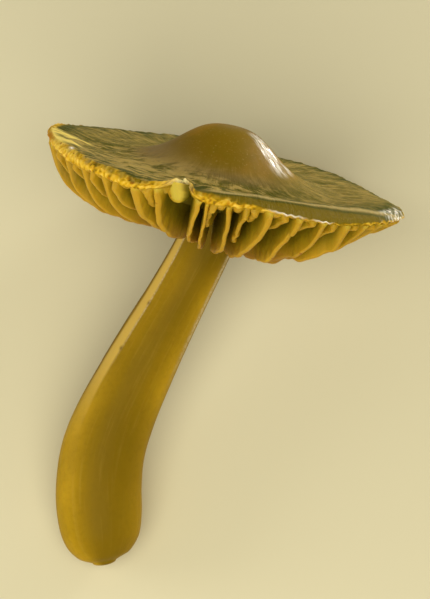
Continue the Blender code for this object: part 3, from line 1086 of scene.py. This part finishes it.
@dataclass
class Cap:
    """The cap: a thin lens of flesh with its umbo, fibrils, wavy margin, notch and roll.

    Its spots are angles with their half-widths, in degrees.
    """

    form: CapForm
    fan: Fan
    finish: SkinFinish
    columns: int = 720
    fibril_height: float = 0.000055
    ripple_height: float = 0.000105
    wrinkle_height: float = 0.000130
    wave_height: float = 0.000090
    grit_height: float = 0.000070
    tear_height: float = 0.00020
    tear_swell: float = 0.00022
    lip_drop: float = 0.00016
    lip_swell: float = 0.00010
    roll_swell: float = 0.00014
    grit_swell: float = 0.00006
    lump_swell: float = 0.00004
    ripples_at: Spot = (240.0, 74.0)
    sheen_at: Spot = (341.0, 18.0)
    tip_at: Spot = (346.0, 8.0)
    drop_at: Spot = (211.0, 1.0)
    ragged_at: Spot = (226.0, 32.0)
    light_at: Spot = (204.0, 22.0)
    specked_at: Spot = (205.0, 45.0)
    burnt_at: Spot = (191.0, 6.0)
    torn_at: Spot = (256.8, 3.0)
    tear_width: float = 3.6
    fold_at: float = 298.0
    glints: tuple[Spot, Spot] = ((291.7, 5.4), (304.0, 3.4))

    def profile(self) -> list[tuple[float, float]]:
        """The even cap's profile from the umbo over the margin to the middle of the underside.

        Returns:
            Its (distance from the axis, height) corners.
        """
        form = self.form
        inner = np.linspace(0.0, 0.62, 44)
        outer = np.linspace(0.62, 0.985, 46)[1:]
        top = [(rho, float(form.dish(rho) + form.umbo(rho))) for rho in (*inner, *outer)]
        edge = [(0.992, -0.00006), (0.9965, -0.00012), (0.9990, -0.00020), (1.0, -0.00030)]
        edge += [(0.9975, -0.00041), (0.992, -0.00048), (0.984, -0.00050)]
        places = (0.96, 0.90, 0.80, 0.65, 0.45, 0.25, 0.0)
        under = [(rho, float(form.dish(rho) - form.thickness(rho))) for rho in places]
        return [(rho * form.radius, height) for rho, height in top + edge + under]

    def build(self) -> None:
        """Builds the cap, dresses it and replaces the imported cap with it."""
        piece = spun("cap_flesh", self.profile(), self.columns)
        self.shape(piece.data)
        fitted(piece, self.finish.material(), "cap")

    def shape(self, mesh: bpy.types.Mesh) -> None:
        """Gives the even cap its relief and its values, and lays it down.

        Args:
            mesh: The spun cap.
        """
        form = self.form
        points = points_of(mesh)
        radius, height = np.hypot(points[:, 0], points[:, 1]), points[:, 2]
        rho = radius / form.radius
        top = form.dish(rho) + form.umbo(rho)
        under = form.dish(rho) - form.thickness(rho)
        upper = unit((height - under) / np.maximum(top - under, 1e-6))
        upper = np.where(rho > 0.99, smooth_step(-0.00050, -0.00012, height), upper)
        skin = Skin(form.gathered(np.arctan2(points[:, 1], points[:, 0])), rho)
        down, turn = 1.0 - upper, skin.turn

        combed = skin.patch(self.ripples_at)
        combed = 1.0 - 0.84 * combed * smooth_step(0.30, 0.55, rho)
        rim = self.rim_share(skin, rho + 0.05 * down * (rho > 0.98))
        wander = turn + 0.0035 * skin.grain(5, 26, 8.0) + 0.0015 * skin.grain(6, 70, 17.0)
        fibril = 0.55 * Grain(1, 150).at(wander, rho * 7.0) + 0.45 * Grain(2, 320).at(wander, rho * 13.0)
        fibril *= combed
        ripple = 0.7 * Grain(10, 40).at(wander, rho * 11.0)
        ripple += (1.0 - combed) * Grain(19, 70).at(wander, rho * 26.0)
        margin = smooth_step(0.0, 0.5, rim)
        grit = Grain(3, 540).at(turn, rho * 66.0 + down * 7.0) * margin
        lumps = Grain(17, 150).at(turn, rho * 30.0 + down * 3.5) * margin
        sheen = skin.patch(self.sheen_at, 20.0 * (rho - 0.25))
        sheen *= smooth_step(0.09, 0.16, rho) * smooth_step(0.40, 0.33, rho)
        twist = skin.grain(13, 40, 14.0)
        hairs = 0.6 * Grain(12, 110).at(turn + 0.004 * twist, rho * 34.0)
        hairs += 0.7 * Grain(20, 62).at(turn + 0.006 * twist, rho * 20.0)
        tip = skin.near(*self.tip_at) * smooth_step(0.93, 0.955, rho)
        beads = skin.grain(18, 420, 80.0)
        tear = skin.near(form.notch, self.tear_width) * smooth_step(0.90, 1.0, rho)
        lip = self.lip(skin) * smooth_step(0.955, 1.0, rho) * (1.0 - tear)
        sag, risen = form.bead(rho, skin.degrees)

        relief = self.fibril_height * fibril + self.ripple_height * ripple
        relief *= smooth_step(0.36, 0.52, rho) * upper * (1.0 - 0.6 * rim)
        relief += self.grit_height * (0.6 * grit + 0.2 * lumps)
        relief += self.wave_height * skin.grain(4, 14, 5.0) * smooth_step(0.42, 0.6, rho)
        relief += self.wrinkle_height * (hairs * sheen + beads * tip) * upper
        relief += upper * risen - down * sag - self.lip_drop * lip
        relief += self.tear_height * skin.grain(14, 420) * tear
        swell = self.lip_swell * lip + 0.25 * sag * hill(0.5, 0.4, upper)
        swell += self.tear_swell * skin.grain(15, 380) * tear
        calm = 1.0 - 0.7 * skin.roll * smooth_step(278.0, 288.0, skin.degrees)
        swell += (self.grit_swell * grit + self.lump_swell * lumps) * smooth_step(0.97, 1.0, rho) * calm
        swell += self.roll_swell * skin.roll * down * smooth_step(0.99, 1.0, rho)
        grown = radius * (1.0 + swell / form.radius)
        sine, cosine = np.sin(skin.angle), np.cos(skin.angle)
        set_points(mesh, form.placed(np.stack((grown * cosine, grown * sine, height + relief), axis=1)))

        glint = sum(skin.patch(spot) for spot in self.glints)
        glint *= skin.roll * smooth_step(0.985, 0.995, rho) * hill(0.58, 0.19, down)
        drop = hill(0.976, 0.008, rho) * skin.near(*self.drop_at)
        # The painted highlight: near-white on the sheen's strands, the tip's beads, the lip's glints and the
        # drop, over their wet coat.
        strands = hairs + 0.9 * skin.grain(27, 260, 44.0)
        frost = 0.66 * sheen * smooth_step(-0.3, 0.4, strands) + tip * smooth_step(-0.1, 0.4, beads)
        # Painted light and shade on the margin's granules, following their grit and lumps, and darker
        # further in from the margin.
        lump = 0.5 + 0.40 * grit + 0.22 * lumps - 0.16 * smooth_step(0.97, 0.88, rho)
        keep(
            mesh,
            fibre=np.stack((cosine, sine, rho), axis=1),
            fibril=0.45 * fibril,
            combed=combed,
            rim=np.where(upper < 0.3, 1.0, rim),
            lump=lump + 0.28 * skin.near(*self.light_at),
            coarse=smooth_step(0.34, 0.50, rho) * (1.0 - 0.7 * rim),
            wet=unit(sheen + glint + tip + drop),
            frost=unit(frost + glint + drop),
        )
        self.keep_zones(mesh, skin)

    def rim_share(self, skin: Skin, out: np.ndarray) -> np.ndarray:
        """How much of the yellow margin shows.

        Args:
            skin: Where the vertices are.
            out: How far out each one counts, as a share of the radius.

        Returns:
            The share at each vertex.
        """
        near_left = skin.near(*self.ragged_at)
        ragged = 0.006 * skin.grain(8, 60) + 0.008 * Grain(16, 300).at(skin.turn, out * 40.0)
        start = 0.955 + 0.052 * skin.roll + skin.patches(YELLOW_START) + ragged * (1.0 + 1.5 * near_left)
        return smooth_step(0.0, 1.0, (out - start) / (0.026 + 0.034 * near_left + 0.006 * skin.roll))

    def lip(self, skin: Skin) -> np.ndarray:
        """How far the rim swells over the end of each gill.

        Args:
            skin: Where the vertices are.

        Returns:
            The swelling at each vertex.
        """
        total = np.zeros_like(skin.degrees)
        for gill in self.fan.gills:
            strength = (0.8 if gill.kind is Kind.SHORT else 0.95) * (0.7 + 0.6 * gill.tone)
            total += strength * skin.near(gill.angle, 0.85 * gill.thick**0.5)
        return np.minimum(total, 1.3) * (0.8 + 0.5 * skin.grain(24, 90))

    @staticmethod
    def lick(skin: Skin, centre: float, slant: float, spread: float, length: float) -> np.ndarray:
        """A cream lick that runs inwards from the margin and narrows.

        Args:
            skin: Where the vertices are.
            centre: The angle at which it leaves the margin.
            slant: How many degrees it turns for a whole radius.
            spread: How many degrees wider it is for a whole radius further out.
            length: How far in it has stopped narrowing, as a share of the radius.

        Returns:
            The share of cream at each vertex.
        """
        inside = 1.0 - skin.rho
        across = turned_by(skin.degrees, centre) - slant * inside + 1.6 * skin.grain(26, 240, 30.0)
        return plateau(across, 1.6 + spread * np.maximum(length - inside, 0.0))

    def keep_zones(self, mesh: bpy.types.Mesh, skin: Skin) -> None:
        """Keeps where the skin is pale with partly painted reflection, green, brown, mauve, cream, burnt,
        specked or torn, and the roll's painted highlight and painted shade.

        Args:
            mesh: The cap's mesh.
            skin: Where its vertices are.
        """
        rho, roll, degrees = skin.rho, skin.roll, skin.degrees
        pale = skin.patches(PALE) - 0.10 - 0.35 * smooth_step(0.86, 0.95, rho)
        pale -= 0.35 * skin.near(self.tip_at[0], 16.0) * smooth_step(0.70, 0.85, rho)
        greener = (skin.patches(GREENER) + 0.8 * smooth_step(0.84, 0.93, rho)) * smooth_step(0.4, 0.7, rho)
        mauve = 0.30 * hill(0.0, 0.09, rho)
        for centre, width, place, reach, strength in MAUVE:
            mauve += strength * hill(place, reach, rho) * skin.near(centre, width)
        # The roll's fold: a painted highlight along its crest and a painted shade in the crease just under
        # it.
        fold = 0.905 + 0.05 * (turned_by(degrees, self.fold_at) / 35.0) ** 2
        crest = 1.3 * roll * hill(0.0, 0.013, rho - fold) * smooth_step(261.0, 272.0, degrees)

        cream = self.lick(skin, 184.0, 14.0, 20.0, 0.22) * smooth_step(0.73, 0.80, rho)
        cream *= smooth_step(-0.9, 0.3, skin.grain(28, 300, 20.0) + 0.6)
        cream += self.lick(skin, 196.0, 40.0, 48.0, 0.15) * smooth_step(0.83, 0.87, rho)
        keep(
            mesh,
            pale=pale,
            greener=unit(greener),
            knob=1.0 - smooth_step(0.30, 0.50, rho + 0.02 * skin.grain(9, 30, 9.0)),
            foot=mauve,
            rolled=roll * smooth_step(fold, fold + 0.02, rho),
            crest=unit(crest),
            crease=roll * hill(0.0, 0.010, rho - fold - 0.024),
            cream=unit(cream) * smooth_step(0.995, 0.98, rho),
            burnt=skin.near(*self.burnt_at) * smooth_step(0.975, 0.995, rho),
            specked=skin.near(*self.specked_at),
            torn=skin.near(*self.torn_at) * smooth_step(0.955, 0.985, rho),
        )


def fitted(piece: bpy.types.Object, material: bpy.types.Material, node: str) -> None:
    """Dresses a piece, smooths it and fixes it to the mushroom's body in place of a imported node.

    Args:
        piece: The finished piece.
        material: What it is made of.
        node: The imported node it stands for.
    """
    piece.data.materials.append(material)
    clear_selection()
    piece.select_set(True)
    bpy.context.view_layer.objects.active = piece
    bpy.ops.object.shade_smooth_by_angle(angle=CREASE)
    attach(piece, "root")
    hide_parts(node)
    LOG.info("%s: %d faces", piece.name, len(piece.data.polygons))


@dataclass
class GillFan:
    """The yellow layer under the cap with every gill on it."""

    form: CapForm
    fan: Fan
    finish: GillFinish
    layer_columns: int = 360
    sunk: float = 0.0002
    fillet: float = 0.00026
    fillet_depth: float = 0.00040
    foot_round: float = 0.00016
    end_round: float = 0.03
    edge_width: float = 0.00037
    root_width: float = 0.00074
    sway: float = 0.00034
    ripple: float = 0.00005
    shiver: float = 0.00010
    tongue_top: tuple[float, float, float] = (-0.00430, -0.01510, -0.00162)
    tongue_half: float = 0.00116
    tongue_depth: float = 0.00186
    tongue_bulge: float = 0.00035
    tongue_lean: float = 0.00055
    tongue_wall: float = 0.00020
    outer_end: float = 0.988
    hook: float = 0.00205

    def build(self) -> None:
        """Builds the layer and its gills, joins them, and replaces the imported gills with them."""
        piece = self.layer()
        blades = {
            Kind.FULL: self.unit_blade("full_blade", 40, 18),
            Kind.SHORT: self.unit_blade("short_blade", 20, 10),
            Kind.TOOTH: self.unit_blade("tooth_blade", 6, 5),
        }
        copies = [self.tongue()]
        for gill in self.fan.gills:
            copy = blades[gill.kind].copy()
            copy.data = blades[gill.kind].data.copy()
            bpy.context.scene.collection.objects.link(copy)
            self.shape(copy.data, gill)
            copies.append(copy)
        for blade in blades.values():
            bpy.data.objects.remove(blade)
        clear_selection()
        for part in (*copies, piece):
            part.select_set(True)
        bpy.context.view_layer.objects.active = piece
        bpy.ops.object.join()
        fitted(piece, self.finish.material(), "gills")

    def layer(self) -> bpy.types.Object:
        """The layer that the gills grow from, which closes the seam under the cap.

        Returns:
            The layer.
        """
        form = self.form
        places = np.linspace(0.0, 0.985, 16)
        under = [(float(rho), float(form.layer_bottom(rho))) for rho in places]
        top = [(0.990, -0.00062), (0.985, -0.00046)]
        for rho in (*places[-2::-3], 0.0):
            top.append((float(rho), float(form.dish(rho) - form.thickness(rho) + 0.0001)))
        profile = [(rho * form.radius, height) for rho, height in under + top]
        piece = spun("gill_fan", profile, self.layer_columns)
        points = points_of(piece.data)
        angle = form.gathered(np.arctan2(points[:, 1], points[:, 0]))
        radius = np.hypot(points[:, 0], points[:, 1])
        even = np.stack((radius * np.cos(angle), radius * np.sin(angle), points[:, 2]), axis=1)
        set_points(piece.data, form.placed(even))
        # Gold towards the margin and darker inwards between the gills: partly painted light and painted
        # shade.
        outer = smooth_step(0.93, 0.985, radius / form.radius)
        plain = np.zeros_like(outer)
        keep(piece.data, hang=0.4 * outer, outer=0.7 * outer, brink=plain, rust=plain, fresh=plain)
        keep(piece.data, grow=even / form.radius)
        return piece

    @staticmethod
    def unit_blade(name: str, along: int, deep: int) -> bpy.types.Object:
        """A flat blade one unit long and deep, with a wall, from which each gill is shaped.

        Args:
            name: Its name.
            along: How many faces it has from the margin inwards.
            deep: How many it has from its root to its free edge.

        Returns:
            The blade.
        """
        clear_selection()
        bpy.ops.mesh.primitive_grid_add(
            x_subdivisions=along, y_subdivisions=deep, size=1.0, location=(0.5, 0.5, 0.0)
        )
        blade = bpy.context.active_object
        blade.name = blade.data.name = name
        bpy.ops.object.transform_apply(location=True, rotation=True, scale=True)
        wall = blade.modifiers.new("wall", "SOLIDIFY")
        wall.thickness = 0.1
        wall.offset = 0.0
        bpy.ops.object.modifier_apply(modifier="wall")
        return blade

    def tongue(self) -> bpy.types.Object:
        """The young gill that turns its face outwards under the torn margin.

        Returns:
            The gill.
        """
        tongue = self.unit_blade("tongue", 22, 22)
        points = points_of(tongue.data)
        across, down = 2.0 * unit(points[:, 0]) - 1.0, unit(points[:, 1])
        down = 1.0 - (1.0 - down) ** 1.5
        half = self.tongue_half * np.clip(1.0 - down**3.0, 0.0012, 1.0) ** 0.5
        border = np.minimum(1.0, (1.0 - across**2) * 3.0 + 0.12)
        border *= unit((1.0 - down) * 6.0 + 0.1)
        x = across * half - 0.00006 * down
        y = self.tongue_lean * down - self.tongue_bulge * (1.0 - across**2)
        y -= self.tongue_wall * np.sqrt(border) * np.sign(points[:, 2])
        z = -self.tongue_depth * down - 0.0002 * across * (1.0 - down)
        set_points(tongue.data, laid_down(np.column_stack((x, y, z)) + self.tongue_top))
        left = smooth_step(-0.55, -0.95, across)
        bottom = smooth_step(0.75, 1.0, down)
        right = smooth_step(-0.20, 0.62, across + 0.12 * Grain(34, 9).at(0.3, down * 9.0) - 0.30 * down)
        keep(
            tongue.data,
            hang=0.85 - 0.85 * right,
            outer=np.maximum(left, bottom * (1.0 - right)),
            brink=0.6 * left,
            rust=np.zeros_like(left),
            fresh=(0.75 - 0.75 * right) * (1.0 - left) * (1.0 - 0.7 * bottom),
            grow=np.stack((across * 0.1, down * 0.05, across * 0.0), axis=1),
        )
        return tongue

    def foot(self, gill: Gill, rho: np.ndarray, along: np.ndarray) -> np.ndarray:
        """The height of a gill's free edge on the even cap.

        Args:
            gill: The gill.
            rho: Each place's share of the radius.
            along: How far it is along the gill, from 0 at the margin to 1.

        Returns:
            The height at each place.
        """
        if gill.kind is Kind.FULL:
            share, fuller = round_curve(GILL_SHAPE, np.array([gill.angle]))[0]
            inward = rho - fuller * (1.0 - rho) * smooth_step(0.45, 0.80, rho)
            margin = GILL_DEPTH[-1][1]
            shallower = 0.45 * near(gill.angle, 352.0, 24.0) + 0.35 * smooth_step(0.92, 0.985, rho)
            deeper = (curve_through(GILL_DEPTH, inward)[:, 0] - margin) * share * gill.hang
            foot = -margin * (1.0 - shallower) - deeper
            foot += 0.00010 * Grain(31, 7).at(gill.tone, along * 14.0 + 3.0 * gill.tone)
            foot += 0.00004 * Grain(32, 7).at(gill.tone, along * 34.0)
            for angle, place, depth, width in BITES:
                if angle == gill.angle:
                    foot += depth * hill(place, width, along)
            return foot
        arch, power = 0.07 + 0.86 * along**0.85, 0.65
        if gill.kind is Kind.TOOTH or gill.hang > self.hook:
            arch, power = 0.09 + 0.84 * along**1.4, 0.75
        hang = np.sin(math.pi * unit(arch)) ** power
        sag, _ = self.form.bead(rho, np.full_like(rho, gill.angle))
        return self.form.layer_bottom(rho) - sag - gill.hang * hang

    def shape(self, mesh: bpy.types.Mesh, gill: Gill) -> None:
        """Shapes one copy of a unit blade into a gill and keeps its values.

        Args:
            mesh: The copy's mesh.
            gill: The gill it becomes.
        """
        points = points_of(mesh)
        along, side = unit(points[:, 0]) ** 1.25, np.sign(points[:, 2])
        deep = 1.0 - (1.0 - unit(points[:, 1])) ** 1.6
        rho = self.outer_end + (gill.start - self.outer_end) * along
        root = self.form.layer_bottom(rho) + self.sunk
        foot = self.foot(gill, rho, along)
        height = root + (foot - root) * deep
        drop, above = root - height, height - foot

        open_out = smooth_step(0.18, 0.65, rho)
        upwards = unit(above / (root - foot))
        width = self.edge_width + (self.root_width - self.edge_width) * upwards**0.8
        width += self.fillet * open_out * np.exp(-drop / self.fillet_depth)
        width *= (0.6 + 0.4 * open_out) * gill.thick
        width *= quarter_round(above / self.foot_round, 0.10)
        width *= quarter_round(along / self.end_round, 0.15)
        width *= quarter_round((1.0 - along) / self.end_round, 0.15)

        phase = gill.tone * 40.0
        wave = gill.sway * self.sway * np.sin(2.0 * math.pi * along + phase)
        wave += self.ripple * np.sin(7.0 * math.pi * along + phase * 1.7) * deep
        shiver = Grain(33, 7).at(gill.tone, along * 22.0 + deep * 2.0) * smooth_step(0.0, 0.3, deep)
        sideways = (wave + self.shiver * shiver) * open_out * deep + side * width / 2.0
        centre = math.radians(gill.angle) + gill.bend * np.sin(math.pi * along)
        out = np.stack((np.cos(centre), np.sin(centre)), axis=1)
        across = np.stack((out[:, 1], -out[:, 0]), axis=1)
        flat = out * (rho * self.form.radius)[:, None] + across * sideways[:, None]
        set_points(mesh, self.form.placed(np.column_stack((flat, height))))

        knob = smooth_step(0.955, 0.985, rho) * smooth_step(0.0009, 0.0002, drop)
        # Painted shade towards the root, painted light towards the free edge, and gold near the margin
        # partly painted light.
        hang = 0.40 * unit(drop / 0.0034) + 0.60 * smooth_step(0.0020, 0.0, above)
        keep(
            mesh,
            hang=unit(hang),
            outer=0.7 * smooth_step(0.90, 0.985, rho),
            brink=0.7 * smooth_step(1.5, 0.2, above / self.foot_round),
            rust=smooth_step(0.80, 0.55, rho) * smooth_step(0.0018, 0.0, above),
            fresh=0.5 * knob * (gill.kind is Kind.FULL),
            grow=np.stack((rho, drop / self.form.radius, np.full_like(rho, gill.tone * 9.0)), axis=1),
        )


@dataclass
class Stem:
    """The leaning stem, flared downwards, with its picked heel.

    Its spots are angles with their half-widths, in degrees.
    """

    form: CapForm
    finish: StemFinish
    sides: int = 160
    rings: int = 300
    flatten: float = 0.03
    bulge: float = 0.015
    heel_dome: float = 0.35
    stride: float = 0.004
    edge_at: Spot = (-164.0, 6.0)
    dusk_at: Spot = (-110.0, 30.0)
    far_dusk_at: Spot = (-130.0, 26.0)
    warm_at: Spot = (-158.0, 24.0)
    low_warm_at: Spot = (-40.0, 34.0)
    shade_at: Spot = (-8.0, 9.0)
    dents: tuple[float, float] = (0.345, 0.475)

    def path(self, along: np.ndarray) -> tuple[np.ndarray, np.ndarray]:
        """The stem's centreline and radius.

        Args:
            along: Places from 0 at the top to 1 at the heel.

        Returns:
            The centres, and the radius at each.
        """
        table = np.array(STEM_PATH)
        steps = np.concatenate(([0.0], np.cumsum(np.linalg.norm(np.diff(table[:, :3], axis=0), axis=1))))
        rows = tuple(tuple(row) for row in np.column_stack((steps / steps[-1], table)))
        found = curve_through(rows, along)
        return found[:, :3], found[:, 3]

    def build(self) -> None:
        """Builds the stem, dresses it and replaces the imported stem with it."""
        rings = [(1.0, index / self.rings) for index in range(self.rings + 1)]
        caps = [(0.0, 1.0), (0.25, 1.0), (0.5, 1.0), (0.75, 1.0), (0.9, 1.0)]
        profile = [(0.0, 0.0), (0.5, 0.0)] + rings + caps[::-1]
        piece = spun("stem_flesh", profile, self.sides)
        self.shape(piece.data)
        fitted(piece, self.finish.material(), "stem")

    def shape(self, mesh: bpy.types.Mesh) -> None:
        """Bends the unit cylinder along the stem's path, and keeps its values.

        Args:
            mesh: The cylinder of radius 1 and height 1.
        """
        points = points_of(mesh)
        share = np.hypot(points[:, 0], points[:, 1])
        turn = np.arctan2(points[:, 1], points[:, 0])
        along = unit(points[:, 2])
        centre, radius = self.path(along)
        ahead, _ = self.path(np.minimum(along + self.stride, 1.0))
        behind, _ = self.path(np.maximum(along - self.stride, 0.0))
        down = ahead - behind
        down /= np.linalg.norm(down, axis=1)[:, None]
        side = np.cross(np.array([[0.0, 1.0, 0.0]]), down)
        side /= np.linalg.norm(side, axis=1)[:, None]
        away = np.cross(down, side)
        part = turn / math.tau % 1.0
        uneven = self.flatten * np.cos(2 * turn) - self.bulge * np.cos(3 * turn + 0.7)
        uneven += 0.010 * Grain(21, 11).at(part, along * 5.0) + 0.004 * Grain(22, 60).at(part, along * 14.0)
        reach = radius * share * (1.0 + uneven)
        placed = centre + (side * np.cos(turn)[:, None] + away * np.sin(turn)[:, None]) * reach[:, None]
        dome = self.heel_dome * radius * np.sqrt(unit(1.0 - share**2)) * (along > 0.999)
        placed += down * dome[:, None]
        laid = laid_down(placed)
        laid[:, 2] = np.maximum(laid[:, 2], 0.0)
        set_points(mesh, laid)
        keep(mesh, fibre=np.stack((np.cos(turn) * 9.0, np.sin(turn) * 9.0, along * 5.0), axis=1))
        self.keep_zones(mesh, np.degrees(turn), along)

    def keep_zones(self, mesh: bpy.types.Mesh, degrees: np.ndarray, along: np.ndarray) -> None:
        """Keeps the stem's painted reflection band and painted highlight lines, and where it is dusky, warm
        or in painted shade.

        Args:
            mesh: The stem's mesh.
            degrees: Each point's angle round the stem, 0 at its left side and -90 at its front.
            along: Each point's place along it.
        """
        inward = 2.0 * Grain(23, 5).at(0.0, along * 9.0) - turned_by(degrees, 0.0)
        border = 42.0 + 4.0 * smooth_step(0.2, 0.47, along)
        # A pale band down the left side: partly the flesh's paler side, partly painted reflection.
        band = smooth_step(14.0, 24.0, inward) * smooth_step(3.0, -3.0, inward - border) * (inward < 90.0)
        # Thin painted highlights, along the band's inner border and at the right edge.
        line = 0.7 * hill(0.0, 1.8, inward - border - 1.0) * smooth_step(0.58, 0.34, along)
        line += near(degrees, *self.edge_at) * smooth_step(0.55, 0.30, along)
        dusk = 0.75 * smooth_step(0.26, 0.10, along)
        dusk += 0.62 * near(degrees - 20.0 * smooth_step(0.1, 0.5, along), *self.dusk_at)
        dusk += 0.45 * near(degrees, *self.far_dusk_at) * smooth_step(0.5, 0.7, along)
        warm = near(degrees, *self.warm_at) * smooth_step(0.1, 0.3, along) * smooth_step(0.8, 0.5, along)
        warm += 0.7 * near(degrees, *self.low_warm_at) * smooth_step(0.50, 0.66, along)
        shade = 0.6 * near(degrees, *self.shade_at) * smooth_step(0.75, 0.5, along)
        for place in self.dents:
            shade += 0.8 * hill(0.0, 3.5, inward - border) * hill(0.0, 0.005, along - place)
        keep(
            mesh,
            band=0.80 * band * smooth_step(0.74, 0.48, along),
            line=line,
            dusk=unit(dusk),
            warm=warm,
            shade=shade,
        )


@dataclass(frozen=True)
class Lamp:
    """A soft lamp in the growing frame, aimed at the cap."""

    name: str
    place: tuple[float, float, float]
    size: float
    power: float
    colour: tuple[float, float, float] = (1.0, 1.0, 1.0)
    aim: tuple[float, float, float] = (0.0, 0.0, -0.004)

    def hang(self) -> None:
        """Hangs the lamp."""
        data = bpy.data.lights.new(self.name, "AREA")
        data.energy = self.power
        data.size = self.size
        data.color = self.colour
        lamp = bpy.data.objects.new(self.name, data)
        bpy.context.scene.collection.objects.link(lamp)
        start = LAID @ Vector(self.place)
        aim = LAID @ Vector(self.aim)
        turned = (aim - start).to_track_quat("-Z", "Y").to_matrix().to_4x4()
        lamp.matrix_world = Matrix.Translation(start) @ turned


@dataclass
class Studio:
    """The pale floor, the soft lamps, the sky and the camera."""

    floor_size: float = 6.0
    floor_colour: Colour = (0.66, 0.61, 0.42, 1.0)
    floor_roughness: float = 0.9
    sky_colour: Colour = (0.86, 0.82, 0.66, 1.0)
    sky_power: float = 0.26
    lens: float = 162.3
    distance: float = 0.270
    middle: tuple[float, float, float] = (-0.00095, 0.0, -0.0126)
    lamps: tuple[Lamp, ...] = (
        Lamp("key_lamp", (-0.26, -0.06, 0.03), 0.14, 0.25, (1.0, 0.98, 0.93)),
        Lamp("fill_lamp", (-0.02, -0.26, -0.08), 0.28, 0.86, (1.0, 0.95, 0.80)),
        Lamp("umbo_lamp", (0.215, 0.055, 0.19), 0.08, 1.1, (1.0, 0.97, 0.90)),
    )

    def build(self) -> None:
        """Builds the studio."""
        clear_selection()
        bpy.ops.mesh.primitive_plane_add(size=self.floor_size)
        floor = bpy.context.active_object
        floor.name = "studio_floor"
        surface = Recipe("plain_floor")
        surface.fill(surface.shader, {"Base Color": self.floor_colour, "Roughness": self.floor_roughness})
        floor.data.materials.append(surface.material)
        for lamp in self.lamps:
            lamp.hang()
        sky = bpy.data.worlds.new("studio_sky")
        sky.use_nodes = True
        background = sky.node_tree.nodes["Background"]
        background.inputs["Color"].default_value = self.sky_colour
        background.inputs["Strength"].default_value = self.sky_power
        bpy.context.scene.world = sky
        bpy.context.scene.view_settings.view_transform = "Standard"
        self.camera()

    def camera(self) -> None:
        """Sets the camera that looks along the growing frame's Y, level with the ground it grew on."""
        data = bpy.data.cameras.new("studio_camera")
        data.sensor_width = 36.0
        data.lens = self.lens
        data.clip_start = 0.01
        camera = bpy.data.objects.new("studio_camera", data)
        bpy.context.scene.collection.objects.link(camera)
        back = Matrix.Translation((0.0, -self.distance, 0.0)) @ Matrix.Rotation(math.radians(90.0), 4, "X")
        camera.matrix_world = LAID @ Matrix.Translation(self.middle) @ back
        bpy.context.scene.camera = camera


def main() -> None:
    """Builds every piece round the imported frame."""
    logging.basicConfig(level=logging.INFO, format="%(name)s: %(message)s")
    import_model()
    form = CapForm()
    fan = Fan()
    fan.lay_out()
    Cap(form, fan, SkinFinish()).build()
    GillFan(form, fan, GillFinish()).build()
    Stem(form, StemFinish()).build()
    Studio().build()


if __name__ == "__main__":
    main()
